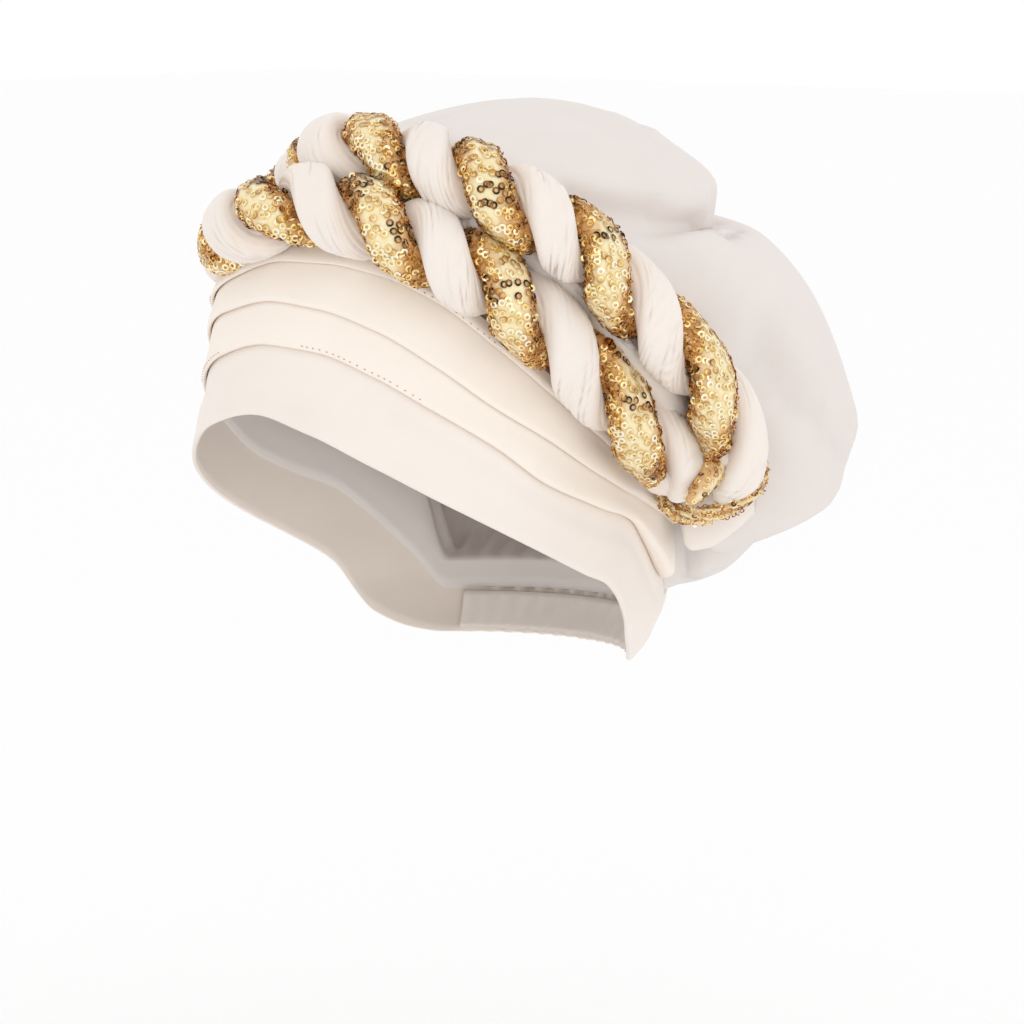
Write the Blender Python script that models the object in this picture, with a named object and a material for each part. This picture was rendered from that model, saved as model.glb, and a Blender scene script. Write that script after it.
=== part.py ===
"""A ready-made turban hat with two twisted braids, held in the form that it has when worn.

Metres, +Z up. The front of the hat faces -Y and the wearer's left is +X. The origin is on the
axis of the head, level with the rim over the brow. An angle round the hat starts at the front
and grows toward the wearer's left, in degrees. A reach is a distance from the axis.
"""
import math

import bmesh
import bpy
import numpy as np
from mathutils import Vector

for leftover in list(bpy.data.objects):
    bpy.data.objects.remove(leftover, do_unlink=True)

# Driving sizes
CLOTH = 0.0014
HEAD_SQUARENESS = 2.1
UP = Vector((0, 0, 1))

# Angles of the sections round the hat
STATION_STEP = 8
BACK_SEAM = 176
LAST_PLEAT_STATION = 128
PLEAT_END = 134.5

# Band and pleats: the room between layers, the cloth under a pleat, and the rolled edges
LAYER_GAP = 0.0005
TUCK_UNDER = 0.008
BARE_EDGE = 0.002
RIM_LIFT = 0.0008
RIM_ROLL = 0.003
BAND_SWELL = 0.0003
ROLL = 0.0030
ROLL_HEIGHT = 0.0035
ROLL_LIFT = 0.0006
EDGE_SHARE = 0.6
FADE_SHARE = 0.9
FADE_HEIGHT = 0.45

# Crown: how far its hem lies inside the layers, the lip that turns out over the pleats, and
# how far the cut face of each half stands back from the seam between them
SEAM_GAP = 0.0005
HALF_GAP = 0.0002
HEM_ROOM = 0.001
LIP_OUT = 0.0020
LIP_UP = 0.0024

# Ropes: a rope is flatter toward the head than it is high, and thinner at its ends
ROPE_RADIUS = 0.0150
ROPE_FLATNESS = 0.80
ROPE_TAPER = 0.030
TAPERED_RADIUS = 0.38
ROPE_LEAN = 0.5
PLY_ROUNDING = 0.8
FRONT_PRESS = 0.0032
REAR_PRESS = 0.0022
STATIONS_PER_TURN = 9
SECTION_POINTS = 8

# The two strands of a rope: where each starts its turns, and its section in shares of the
# rope's radius, from its inner to its outer face and half across
PLY_COLUMNS = ("name", "start_turn", "inner", "outer", "width")
PLIES = (
    ("gold", 0.0, 0.16, 0.98, 0.74),
    ("cream", 0.5, -0.11, 0.99, 0.85),
)

# Finishes: colour, roughness, metallic
CREAM = ((0.90, 0.83, 0.77), 0.75, 0.0)
GOLD = ((0.83, 0.62, 0.26), 0.35, 0.7)
ELASTIC = ((0.86, 0.84, 0.82), 0.8, 0.0)

# The head that the band fits: height, and reach to the side, the front and the back
HEAD_COLUMNS = ("height", "side", "front", "back")
HEAD = (
    (-0.118, 0.071, 0.090, 0.101),
    (-0.104, 0.080, 0.095, 0.114),
    (-0.090, 0.084, 0.097, 0.120),
    (-0.070, 0.084, 0.098, 0.124),
    (-0.050, 0.083, 0.099, 0.123),
    (-0.028, 0.082, 0.099, 0.120),
    (-0.010, 0.081, 0.096, 0.116),
    (0.005, 0.079, 0.091, 0.112),
    (0.020, 0.077, 0.087, 0.107),
    (0.036, 0.074, 0.083, 0.101),
    (0.050, 0.070, 0.078, 0.096),
    (0.064, 0.062, 0.070, 0.088),
    (0.078, 0.050, 0.058, 0.075),
)

# Heights round the brow: the rim, the lower edge of each pleat and the upper pleat's top
EDGE_COLUMNS = ("angle", "rim", "lower", "middle", "upper", "top")
EDGES = (
    (-180, -0.117, -0.096, -0.091, -0.089, -0.087),
    (-144, -0.116, -0.096, -0.091, -0.089, -0.087),
    (-136, -0.114, -0.081, -0.058, -0.050, -0.044),
    (-124, -0.106, -0.062, -0.047, -0.038, -0.031),
    (-112, -0.083, -0.048, -0.036, -0.024, -0.016),
    (-96, -0.069, -0.039, -0.022, -0.006, 0.002),
    (-80, -0.058, -0.029, -0.006, 0.010, 0.018),
    (-60, -0.044, -0.010, 0.012, 0.028, 0.036),
    (-40, -0.028, 0.007, 0.027, 0.041, 0.047),
    (-20, -0.009, 0.020, 0.038, 0.052, 0.058),
    (0, -0.001, 0.027, 0.044, 0.0595, 0.066),
    (16, -0.007, 0.025, 0.042, 0.060, 0.067),
    (32, -0.019, 0.016, 0.034, 0.056, 0.063),
    (48, -0.033, 0.002, 0.020, 0.0455, 0.053),
    (64, -0.046, -0.013, 0.003, 0.028, 0.036),
    (80, -0.058, -0.029, -0.011, 0.009, 0.017),
    (96, -0.069, -0.039, -0.025, -0.009, -0.001),
    (106, -0.075, -0.0445, -0.0325, -0.019, -0.012),
    (112, -0.083, -0.047, -0.037, -0.025, -0.018),
    (118, -0.098, -0.0515, -0.041, -0.031, -0.024),
    (124, -0.106, -0.062, -0.0465, -0.038, -0.031),
    (130, -0.111, -0.073, -0.052, -0.044, -0.037),
    (136, -0.114, -0.081, -0.058, -0.050, -0.044),
    (144, -0.116, -0.096, -0.091, -0.089, -0.087),
    (180, -0.117, -0.096, -0.091, -0.089, -0.087),
)

# Reach and height of the crown's rings at each angle, from just above the pleats up
RING_COLUMNS = (
    "angle", "under", "sag", "low", "belly", "shoulder", "ledge", "crease", "lobe", "crest",
)
RING_REACH = (
    (-180, 0.142, 0.160, 0.182, 0.197, 0.185, 0.154, 0.133, 0.134, 0.106),
    (-152, 0.134, 0.155, 0.178, 0.189, 0.175, 0.146, 0.129, 0.131, 0.100),
    (-144, 0.128, 0.146, 0.172, 0.183, 0.169, 0.141, 0.125, 0.125, 0.094),
    (-136, 0.113, 0.127, 0.152, 0.166, 0.160, 0.132, 0.116, 0.118, 0.088),
    (-128, 0.105, 0.113, 0.122, 0.132, 0.138, 0.118, 0.106, 0.106, 0.082),
    (-120, 0.096, 0.101, 0.109, 0.117, 0.122, 0.106, 0.092, 0.092, 0.074),
    (-110, 0.089, 0.091, 0.096, 0.100, 0.096, 0.086, 0.080, 0.078, 0.064),
    (-90, 0.078, 0.077, 0.074, 0.068, 0.060, 0.055, 0.052, 0.050, 0.040),
    (-60, 0.073, 0.069, 0.064, 0.056, 0.048, 0.038, 0.030, 0.024, 0.016),
    (-30, 0.067, 0.064, 0.060, 0.054, 0.046, 0.034, 0.026, 0.018, 0.006),
    (0, 0.066, 0.064, 0.062, 0.058, 0.050, 0.040, 0.034, 0.024, 0.006),
    (30, 0.069, 0.067, 0.066, 0.062, 0.054, 0.047, 0.040, 0.028, 0.010),
    (60, 0.075, 0.076, 0.077, 0.076, 0.072, 0.070, 0.067, 0.056, 0.030),
    (90, 0.082, 0.086, 0.090, 0.093, 0.093, 0.094, 0.090, 0.083, 0.056),
    (110, 0.092, 0.099, 0.104, 0.109, 0.115, 0.109, 0.100, 0.099, 0.073),
    (120, 0.100, 0.108, 0.118, 0.127, 0.134, 0.120, 0.109, 0.110, 0.085),
    (128, 0.105, 0.113, 0.122, 0.135, 0.148, 0.128, 0.115, 0.117, 0.092),
    (136, 0.113, 0.126, 0.157, 0.173, 0.163, 0.136, 0.120, 0.122, 0.097),
    (144, 0.128, 0.146, 0.178, 0.187, 0.170, 0.141, 0.125, 0.127, 0.101),
    (152, 0.134, 0.155, 0.178, 0.189, 0.175, 0.146, 0.129, 0.131, 0.104),
    (180, 0.142, 0.160, 0.182, 0.197, 0.185, 0.154, 0.133, 0.134, 0.106),
)
RING_HEIGHT = (
    (-180, -0.080, -0.066, -0.053, -0.014, 0.040, 0.067, 0.068, 0.085, 0.106),
    (-152, -0.078, -0.064, -0.051, -0.018, 0.036, 0.062, 0.064, 0.082, 0.103),
    (-144, -0.079, -0.064, -0.049, -0.018, 0.036, 0.061, 0.063, 0.081, 0.102),
    (-136, -0.0415, -0.068, -0.052, -0.014, 0.034, 0.060, 0.062, 0.080, 0.101),
    (-128, -0.031, -0.029, -0.022, -0.004, 0.034, 0.060, 0.062, 0.080, 0.100),
    (-120, -0.023, -0.018, -0.008, 0.004, 0.036, 0.060, 0.064, 0.080, 0.100),
    (-110, -0.008, 0.004, 0.014, 0.024, 0.044, 0.062, 0.068, 0.082, 0.100),
    (-90, 0.014, 0.026, 0.036, 0.046, 0.056, 0.064, 0.070, 0.082, 0.098),
    (-60, 0.042, 0.050, 0.058, 0.068, 0.074, 0.078, 0.082, 0.092, 0.103),
    (-30, 0.062, 0.069, 0.074, 0.078, 0.080, 0.082, 0.086, 0.096, 0.107),
    (0, 0.072, 0.078, 0.083, 0.087, 0.088, 0.090, 0.095, 0.102, 0.108),
    (30, 0.070, 0.076, 0.081, 0.085, 0.087, 0.091, 0.097, 0.103, 0.109),
    (60, 0.048, 0.056, 0.064, 0.073, 0.083, 0.092, 0.099, 0.106, 0.1115),
    (90, 0.016, 0.024, 0.032, 0.041, 0.052, 0.064, 0.077, 0.091, 0.110),
    (110, -0.008, 0.001, 0.008, 0.016, 0.040, 0.064, 0.071, 0.086, 0.109),
    (120, -0.021, -0.016, -0.010, 0.002, 0.036, 0.067, 0.069, 0.085, 0.108),
    (128, -0.031, -0.029, -0.022, -0.004, 0.035, 0.067, 0.068, 0.085, 0.108),
    (136, -0.0415, -0.068, -0.053, -0.016, 0.034, 0.066, 0.067, 0.085, 0.108),
    (144, -0.079, -0.064, -0.050, -0.018, 0.036, 0.065, 0.066, 0.084, 0.107),
    (152, -0.078, -0.064, -0.051, -0.018, 0.036, 0.065, 0.066, 0.084, 0.107),
    (180, -0.080, -0.066, -0.053, -0.014, 0.040, 0.067, 0.068, 0.085, 0.106),
)
# Rows of the crown that lie behind the band and the pleats
COVERED_ROWS = 3
# Places between the rings where the crown has a row of points, counted from the lip
RING_STOPS = (0, 1, 2, 3, 4, 4.5, 5, 5.5, 6, 7, 8, 8.5, 9)
CROWN_TOP = (0.020, 0.050, 0.120)
DOME_STEPS = 2

# Centreline of each rope, from the wearer's right over the front to the left tie, with the
# whole turns that its gold strand has made there, counted from facing outward at the front
ROUTE_COLUMNS = ("angle", "reach", "height", "turn")
FRONT_ROUTE = (
    (-122, 0.114, -0.032, -4.10),
    (-105, 0.104, 0.006, -3.25),
    (-90, 0.092, 0.031, -2.60),
    (-75, 0.083, 0.047, -2.08),
    (-60, 0.079, 0.058, -1.65),
    (-50, 0.078, 0.062, -1.39),
    (-40, 0.079, 0.067, -1.12),
    (-30, 0.081, 0.071, -0.84),
    (-20, 0.083, 0.0755, -0.55),
    (-4, 0.083, 0.0795, -0.10),
    (8, 0.079, 0.083, 0.28),
    (24, 0.081, 0.080, 0.72),
    (39, 0.085, 0.073, 1.13),
    (51, 0.0895, 0.063, 1.55),
    (64, 0.0915, 0.0515, 2.00),
    (74, 0.094, 0.037, 2.33),
    (86, 0.097, 0.019, 2.70),
    (97, 0.102, -0.0005, 3.05),
    (108, 0.108, -0.0165, 3.35),
    (122, 0.114, -0.032, 3.75),
)
REAR_ROUTE = (
    (-124, 0.134, -0.036, -3.85),
    (-119, 0.137, 0.000, -3.20),
    (-112, 0.127, 0.030, -2.60),
    (-102, 0.104, 0.053, -1.90),
    (-90, 0.075, 0.073, -1.20),
    (-75, 0.055, 0.086, -0.66),
    (-60, 0.043, 0.091, -0.33),
    (-40, 0.038, 0.096, -0.05),
    (-14, 0.044, 0.1015, 0.30),
    (9, 0.052, 0.103, 0.68),
    (32, 0.058, 0.103, 1.04),
    (50, 0.074, 0.098, 1.55),
    (62, 0.088, 0.091, 2.04),
    (72, 0.099, 0.079, 2.45),
    (83, 0.106, 0.065, 2.96),
    (92, 0.112, 0.047, 3.37),
    (102, 0.120, 0.0275, 3.80),
    (110, 0.130, 0.006, 4.19),
    (117, 0.134, -0.015, 4.50),
    (124, 0.132, -0.038, 4.80),
)
ROUTE_SAMPLES = 600

# The gold tie round the ends of both ropes, and the padded cloth end that hangs below it
TIE_COLUMNS = ("name", "side", "angle", "reach")
TIES = (
    ("left_tie", 1, 123.4, 0.1237),
    ("right_tie", -1, 123.0, 0.1250),
)
TIE_HEIGHT = -0.036
TIE_HALF_LENGTH = 0.0205
TIE_DROP = 0.016
TIE_THICKNESS = 0.0025
TIE_FLATNESS = 0.8
TIE_RISE = 0.25
TIE_HANG = (0.75, -0.66)
TIE_START = -15
TIE_SWEEP = 210
TIE_STEPS = 16
TIE_POINTS = 6
TUCK_COLUMNS = ("angle", "reach", "top", "bottom")
TUCK = (
    (129.5, 0.111, -0.0450, -0.0630),
    (129.9, 0.116, -0.0440, -0.0650),
    (130.8, 0.123, -0.0440, -0.0640),
    (132.0, 0.132, -0.0440, -0.0580),
    (133.0, 0.141, -0.0445, -0.0510),
)
TUCK_HALF_THICKNESS = 0.0022

# The gathered elastic inside the band at the nape
ELASTIC_START = 148
ELASTIC_STEP = 4
ELASTIC_STEPS = 16
ELASTIC_TOP = 0.017
ELASTIC_BOTTOM = 0.002
GATHER_DEPTH = 0.0009


def column(table, columns, name):
    """One named column of a table."""
    place = columns.index(name)
    return [row[place] for row in table]


def smooth_read(x, xs, ys, end_slope=0.0):
    """Reads a smooth curve through the points (xs, ys) that never overshoots them."""
    xs, ys = np.asarray(xs, float), np.asarray(ys, float)
    x = np.clip(x, xs[0], xs[-1])
    steps = np.diff(xs)
    slopes = np.diff(ys) / steps
    tangents = np.zeros(len(xs))
    tangents[0] = end_slope * slopes[0]
    tangents[-1] = end_slope * slopes[-1]
    for i in range(1, len(xs) - 1):
        if slopes[i - 1] * slopes[i] > 0:
            near = 2 * steps[i] + steps[i - 1]
            far = steps[i] + 2 * steps[i - 1]
            tangents[i] = (near + far) / (near / slopes[i - 1] + far / slopes[i])
    i = np.clip(np.searchsorted(xs, x, side="right") - 1, 0, len(steps) - 1)
    u = (x - xs[i]) / steps[i]
    return ((2 * u**3 - 3 * u**2 + 1) * ys[i] + (u**3 - 2 * u**2 + u) * steps[i] * tangents[i]
            + (3 * u**2 - 2 * u**3) * ys[i + 1] + (u**3 - u**2) * steps[i] * tangents[i + 1])


def head_reach(angle, height):
    """Reach of the head's surface at an angle and a height."""
    heights = column(HEAD, HEAD_COLUMNS, "height")
    side, front, back = (
        float(smooth_read(height, heights, column(HEAD, HEAD_COLUMNS, name), 1.0))
        for name in ("side", "front", "back")
    )
    across = abs(math.sin(math.radians(angle)))
    along = math.cos(math.radians(angle))
    length = front if along > 0 else back
    power = HEAD_SQUARENESS
    return ((across / side) ** power + (abs(along) / length) ** power) ** (-1 / power)


def edge_height(name, angle):
    """Height of the rim, or of one edge of a pleat, at an angle."""
    angles = column(EDGES, EDGE_COLUMNS, "angle")
    return float(smooth_read(angle, angles, column(EDGES, EDGE_COLUMNS, name)))


def at(angle, reach, height):
    """The point at an angle, a reach and a height."""
    turn = math.radians(angle)
    return Vector((reach * math.sin(turn), -reach * math.cos(turn), height))


def on_head(angle, height, stand_off):
    """The point that stands off the head's surface at an angle and a height."""
    return at(angle, head_reach(angle, height) + stand_off, height)


def loft(sections, joined=False):
    """A closed body through like sections, each a loop of points, with flat ends unless joined."""
    mesh = bmesh.new()
    loops = [[mesh.verts.new(point) for point in section] for section in sections]
    pairs = list(zip(loops, loops[1:]))
    if joined:
        pairs.append((loops[-1], loops[0]))
    for near, far in pairs:
        for i in range(len(near)):
            after = (i + 1) % len(near)
            mesh.faces.new((near[i], near[after], far[after], far[i]))
    if not joined:
        mesh.faces.new(loops[0][::-1])
        mesh.faces.new(loops[-1])
    bmesh.ops.recalc_face_normals(mesh, faces=mesh.faces[:])
    return mesh


def finish_material(name, finish):
    """A Principled material from a finish."""
    colour, roughness, metallic = finish
    made = bpy.data.materials.new(name)
    made.use_nodes = True
    shader = made.node_tree.nodes["Principled BSDF"]
    shader.inputs["Base Color"].default_value = (*colour, 1)
    shader.inputs["Roughness"].default_value = roughness
    shader.inputs["Metallic"].default_value = metallic
    return made


def add_piece(name, mesh, finish):
    """Puts a bmesh in the scene as a smooth-shaded object with its own material."""
    data = bpy.data.meshes.new(name)
    mesh.to_mesh(data)
    mesh.free()
    data.shade_smooth()
    data.materials.append(finish_material(name, finish))
    piece = bpy.data.objects.new(name, data)
    bpy.context.scene.collection.objects.link(piece)
    return piece


def brow_band():
    """The smooth band that holds the hat on the head, one closed ring with a folded rim."""
    sections = []
    for angle in range(-BACK_SEAM, 360 - BACK_SEAM, STATION_STEP):
        rim = edge_height("rim", angle)
        cover = edge_height("lower", angle)
        top = cover + TUCK_UNDER
        middle = (rim + cover) / 2
        sections.append([
            on_head(angle, rim + RIM_LIFT, 0),
            on_head(angle, middle, 0),
            on_head(angle, cover - BARE_EDGE, 0),
            on_head(angle, top, 0),
            on_head(angle, top, CLOTH),
            on_head(angle, cover - BARE_EDGE, CLOTH),
            on_head(angle, middle, CLOTH + BAND_SWELL),
            on_head(angle, rim + RIM_ROLL, CLOTH + 2 * BAND_SWELL),
            on_head(angle, rim, CLOTH * EDGE_SHARE),
        ])
    return add_piece("brow_band", loft(sections, joined=True), CREAM)


def pleat(name, edge, next_edge, layer):
    """A strip folded double, laid over the layer below with a soft roll at its lower edge."""
    inner = layer * (CLOTH + LAYER_GAP)
    sections = []
    inner_stations = range(-LAST_PLEAT_STATION, LAST_PLEAT_STATION + 1, STATION_STEP)
    for angle in (-PLEAT_END, *inner_stations, PLEAT_END):
        low = edge_height(edge, angle)
        cover = edge_height(next_edge, angle)
        top = min(cover + TUCK_UNDER, edge_height("top", angle))
        sections.append([
            on_head(angle, low + ROLL_LIFT, inner),
            on_head(angle, (low + top) / 2, inner),
            on_head(angle, top, inner),
            on_head(angle, top, inner + CLOTH),
            on_head(angle, cover - BARE_EDGE, inner + CLOTH),
            on_head(angle, low + FADE_HEIGHT * (cover - low), inner + FADE_SHARE * ROLL),
            on_head(angle, low + ROLL_HEIGHT, inner + ROLL),
            on_head(angle, low, inner + EDGE_SHARE * ROLL),
        ])
    return add_piece(name, loft(sections), CREAM)


def crown_meridian(angle):
    """The crown's outer face at one angle, from its hem behind the band up to the top."""
    seam = edge_height("lower", angle)
    lip = edge_height("top", angle)
    collar = min(seam + TUCK_UNDER + HEM_ROOM, lip)
    covered = (seam - BARE_EDGE, collar, max(lip, collar + HEM_ROOM))
    points = [on_head(angle, height, -SEAM_GAP) for height in covered]
    angles = column(RING_REACH, RING_COLUMNS, "angle")
    reaches = [head_reach(angle, lip) + LIP_OUT]
    heights = [lip + LIP_UP]
    for name in RING_COLUMNS[1:]:
        reaches.append(float(smooth_read(angle, angles, column(RING_REACH, RING_COLUMNS, name))))
        heights.append(float(smooth_read(angle, angles, column(RING_HEIGHT, RING_COLUMNS, name))))
    places = range(len(reaches))
    for place in RING_STOPS:
        reach = float(smooth_read(place, places, reaches, 1.0))
        height = float(smooth_read(place, places, heights, 1.0))
        points.append(at(angle, reach, height))
    crest, top = points[-1], Vector(CROWN_TOP)
    for step in range(1, DOME_STEPS + 1):
        share = step / (DOME_STEPS + 1)
        rise = math.sin(share * math.pi / 2)
        point = crest.lerp(top, share)
        point.z = crest.z + (top.z - crest.z) * rise
        points.append(point)
    return points


def press_in(point, rope, room_round_rope):
    """Moves a point of the crown out of the way of a rope that lies on it."""
    for centre, outward, across, _, size in rope:
        offset = point - centre
        ahead = outward.cross(across)
        parts = (offset.dot(outward) / ROPE_FLATNESS, offset.dot(across), offset.dot(ahead))
        push = (size * ROPE_RADIUS + room_round_rope) / Vector(parts).length
        if push > 1:
            point = centre + offset * push
    return point


def crown_skin(mesh, strips, top):
    """Adds the faces through strips of vertices that run from the hem up to the top."""
    for near, far in zip(strips, strips[1:]):
        for i in range(len(near) - 1):
            mesh.faces.new((near[i], far[i], far[i + 1], near[i + 1]))
        mesh.faces.new((near[-1], far[-1], top))


def crown_walls(front_rope, rear_rope):
    """The outer and the inner points of the whole crown by angle, each with its top point."""
    mesh = bmesh.new()
    strips = {}
    for angle in range(-BACK_SEAM, 360 - BACK_SEAM, STATION_STEP):
        points = crown_meridian(angle)
        for i in range(COVERED_ROWS, len(points)):
            points[i] = press_in(points[i], front_rope, FRONT_PRESS)
            points[i] = press_in(points[i], rear_rope, REAR_PRESS)
        strips[angle] = [mesh.verts.new(point) for point in points]
    top = mesh.verts.new(CROWN_TOP)
    around = list(strips.values())
    crown_skin(mesh, around + around[:1], top)
    mesh.normal_update()
    walls = []
    for depth in (0, CLOTH):
        rows = {
            angle: [vertex.co - vertex.normal * depth for vertex in strip]
            for angle, strip in strips.items()
        }
        rows[360 - BACK_SEAM] = rows[-BACK_SEAM]
        walls.append((rows, top.co - top.normal * depth))
    mesh.free()
    return walls


def crown_half(name, walls, first, last, aside):
    """Half of the large soft crown, a thin shell open below, sewn behind the band."""
    mesh = bmesh.new()
    skins = []
    for rows, top in walls:
        strips = []
        for angle in range(first, last + 1, STATION_STEP):
            shift = Vector((aside if angle in (first, last) else 0, 0, 0))
            strips.append([mesh.verts.new(point + shift) for point in rows[angle]])
        top = mesh.verts.new(top + Vector((aside, 0, 0)))
        crown_skin(mesh, strips, top)
        skins.append((strips, top))
    (outer, outer_top), (inner, inner_top) = skins
    for place in (0, -1):
        outside, inside = outer[place] + [outer_top], inner[place] + [inner_top]
        for i in range(len(outside) - 1):
            mesh.faces.new((outside[i], outside[i + 1], inside[i + 1], inside[i]))
    for i in range(len(outer) - 1):
        mesh.faces.new((outer[i][0], inner[i][0], inner[i + 1][0], outer[i + 1][0]))
    bmesh.ops.recalc_face_normals(mesh, faces=mesh.faces[:])
    return add_piece(name, mesh, CREAM)


def rope_frames(route):
    """Stations along a rope, each its centre, outward and across directions, turn and size."""
    angles, reaches, heights, turns = (column(route, ROUTE_COLUMNS, name) for name in ROUTE_COLUMNS)
    sweep = np.linspace(angles[0], angles[-1], ROUTE_SAMPLES)
    reach_line = smooth_read(sweep, angles, reaches, 1.0)
    height_line = smooth_read(sweep, angles, heights, 1.0)
    turn_line = smooth_read(sweep, angles, turns, 1.0)
    line = [at(*place) for place in zip(sweep, reach_line, height_line)]
    along = [0.0]
    for near, far in zip(line, line[1:]):
        along.append(along[-1] + (far - near).length)
    length = along[-1]
    count = round((turns[-1] - turns[0]) * STATIONS_PER_TURN)
    frames = []
    for step in range(count + 1):
        run = length * step / count
        place = np.interp(run, along, range(ROUTE_SAMPLES))
        i = min(int(place), ROUTE_SAMPLES - 2)
        centre = line[i].lerp(line[i + 1], place - i)
        ahead = (line[i + 1] - line[i]).normalized()
        outward = Vector((centre.x, centre.y, ROPE_LEAN * centre.z))
        outward = (outward - ahead * outward.dot(ahead)).normalized()
        turn = float(np.interp(run, along, turn_line))
        edge = min(min(run, length - run) / ROPE_TAPER, 1)
        size = TAPERED_RADIUS + (1 - TAPERED_RADIUS) * math.sin(edge * math.pi / 2)
        frames.append((centre, outward, ahead.cross(outward), turn, size))
    return frames


def rounded(share):
    """A share of a strand's half width, drawn out toward the corners of its section."""
    return math.copysign(abs(share) ** PLY_ROUNDING, share)


def strand(name, frames, ply, finish):
    """One padded strand of a two-strand rope, which presses on the other strand."""
    _, start_turn, inner, outer, half_width = ply
    sections = []
    for centre, outward, across, turn, size in frames:
        spin = 2 * math.pi * (turn + start_turn)
        deep = outward * ROPE_FLATNESS
        away = deep * math.cos(spin) + across * math.sin(spin)
        beside = across * math.cos(spin) - deep * math.sin(spin)
        section = []
        for k in range(SECTION_POINTS):
            corner = 2 * math.pi * (k + 0.5) / SECTION_POINTS
            depth = (outer + inner + (outer - inner) * rounded(math.cos(corner))) / 2
            width = half_width * rounded(math.sin(corner))
            section.append(centre + (depth * away + width * beside) * (size * ROPE_RADIUS))
        sections.append(section)
    return add_piece(name, loft(sections), finish)


def tie(name, side, angle, reach):
    """A band of gold cloth laid under the ends of both ropes and drawn up beside them."""
    centre = at(side * angle, reach, TIE_HEIGHT)
    outward = at(side * angle, 1, 0)
    forward = at(side * (angle - 90), 1, 0)
    long_way = (outward + TIE_RISE * UP).normalized()
    drop_way = (TIE_HANG[0] * forward + TIE_HANG[1] * UP).normalized()
    normal = long_way.cross(drop_way).normalized()
    sections = []
    for step in range(TIE_STEPS + 1):
        turn = math.radians(TIE_START + TIE_SWEEP * step / TIE_STEPS)
        spoke = TIE_HALF_LENGTH * math.cos(turn) * long_way + TIE_DROP * math.sin(turn) * drop_way
        section = []
        for k in range(TIE_POINTS):
            corner = 2 * math.pi * k / TIE_POINTS
            push = spoke.normalized() * (TIE_FLATNESS * TIE_THICKNESS * math.cos(corner))
            section.append(centre + spoke + push + normal * (TIE_THICKNESS * math.sin(corner)))
        sections.append(section)
    return add_piece(name, loft(sections), GOLD)


def tuck(name, side):
    """The padded end of cloth that hangs below a tie, against the crown."""
    sections = []
    for angle, reach, top, bottom in TUCK:
        middle, half_height = (top + bottom) / 2, (top - bottom) / 2
        section = []
        for k in range(SECTION_POINTS):
            corner = 2 * math.pi * (k + 0.5) / SECTION_POINTS
            forward = at(side * (angle - 90), TUCK_HALF_THICKNESS * math.sin(corner), 0)
            height = middle + half_height * math.cos(corner)
            section.append(at(side * angle, reach, height) + forward)
        sections.append(section)
    return add_piece(name, loft(sections), CREAM)


def nape_elastic():
    """Elastic in a gathered casing, sewn inside the band round the nape."""
    sections = []
    for step in range(ELASTIC_STEPS + 1):
        angle = ELASTIC_START + ELASTIC_STEP * step
        if angle > 180:
            angle -= 360
        low = edge_height("rim", angle) + ELASTIC_BOTTOM
        high = edge_height("rim", angle) + ELASTIC_TOP
        gather = GATHER_DEPTH * (step % 2)
        outer = -2 * SEAM_GAP
        inner = outer - CLOTH - gather
        sections.append([
            on_head(angle, low, outer - gather),
            on_head(angle, (low + high) / 2, outer),
            on_head(angle, high, outer),
            on_head(angle, high, inner),
            on_head(angle, (low + high) / 2, inner - gather),
            on_head(angle, low, inner),
        ])
    return add_piece("nape_elastic", loft(sections), ELASTIC)


front = rope_frames(FRONT_ROUTE)
rear = rope_frames(REAR_ROUTE)
brow_band()
pleat("pleat_lower", "lower", "middle", 1)
pleat("pleat_middle", "middle", "upper", 2)
pleat("pleat_upper", "upper", "top", 3)
crown_sides = crown_walls(front, rear)
crown_half("crown_left", crown_sides, 0, 360 - BACK_SEAM, HALF_GAP)
crown_half("crown_right", crown_sides, -BACK_SEAM, 0, -HALF_GAP)
gold_ply, cream_ply = PLIES
strand("front_braid_gold", front, gold_ply, GOLD)
strand("front_braid_cream", front, cream_ply, CREAM)
strand("rear_braid_gold", rear, gold_ply, GOLD)
strand("rear_braid_cream", rear, cream_ply, CREAM)
for row in TIES:
    tie(**dict(zip(TIE_COLUMNS, row)))
tuck("left_tuck", 1)
tuck("right_tuck", -1)
nape_elastic()
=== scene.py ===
"""Turban hat with two twisted ropes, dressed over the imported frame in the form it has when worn.

Metres, +Z up. The front faces -Y and the hat's left side is +X. An angle round the hat starts at
the front and grows toward the left side, in degrees. A reach is a distance from the axis.
"""

import math

import bpy
import numpy as np
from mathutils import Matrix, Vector


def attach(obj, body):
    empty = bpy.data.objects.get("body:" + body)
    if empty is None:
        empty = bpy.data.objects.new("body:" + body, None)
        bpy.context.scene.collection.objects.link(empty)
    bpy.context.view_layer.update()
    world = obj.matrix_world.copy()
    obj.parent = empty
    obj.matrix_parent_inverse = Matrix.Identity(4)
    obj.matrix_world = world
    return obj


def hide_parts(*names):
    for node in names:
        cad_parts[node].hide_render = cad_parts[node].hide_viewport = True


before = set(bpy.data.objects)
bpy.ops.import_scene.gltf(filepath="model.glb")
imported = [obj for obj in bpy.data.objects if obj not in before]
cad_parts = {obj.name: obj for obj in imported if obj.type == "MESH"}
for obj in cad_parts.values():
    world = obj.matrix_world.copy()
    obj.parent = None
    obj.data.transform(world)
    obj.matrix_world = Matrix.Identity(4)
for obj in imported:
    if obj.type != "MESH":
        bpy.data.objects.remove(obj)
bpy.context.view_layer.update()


# Brow band. A doubled strip of smooth cream stretch cloth round the hat's lower edge, high at
# the front and low at the nape. Its rim is folded in, its top is sewn under the first pleat,
# and elastic draws it into small gathers at the nape.

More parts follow.
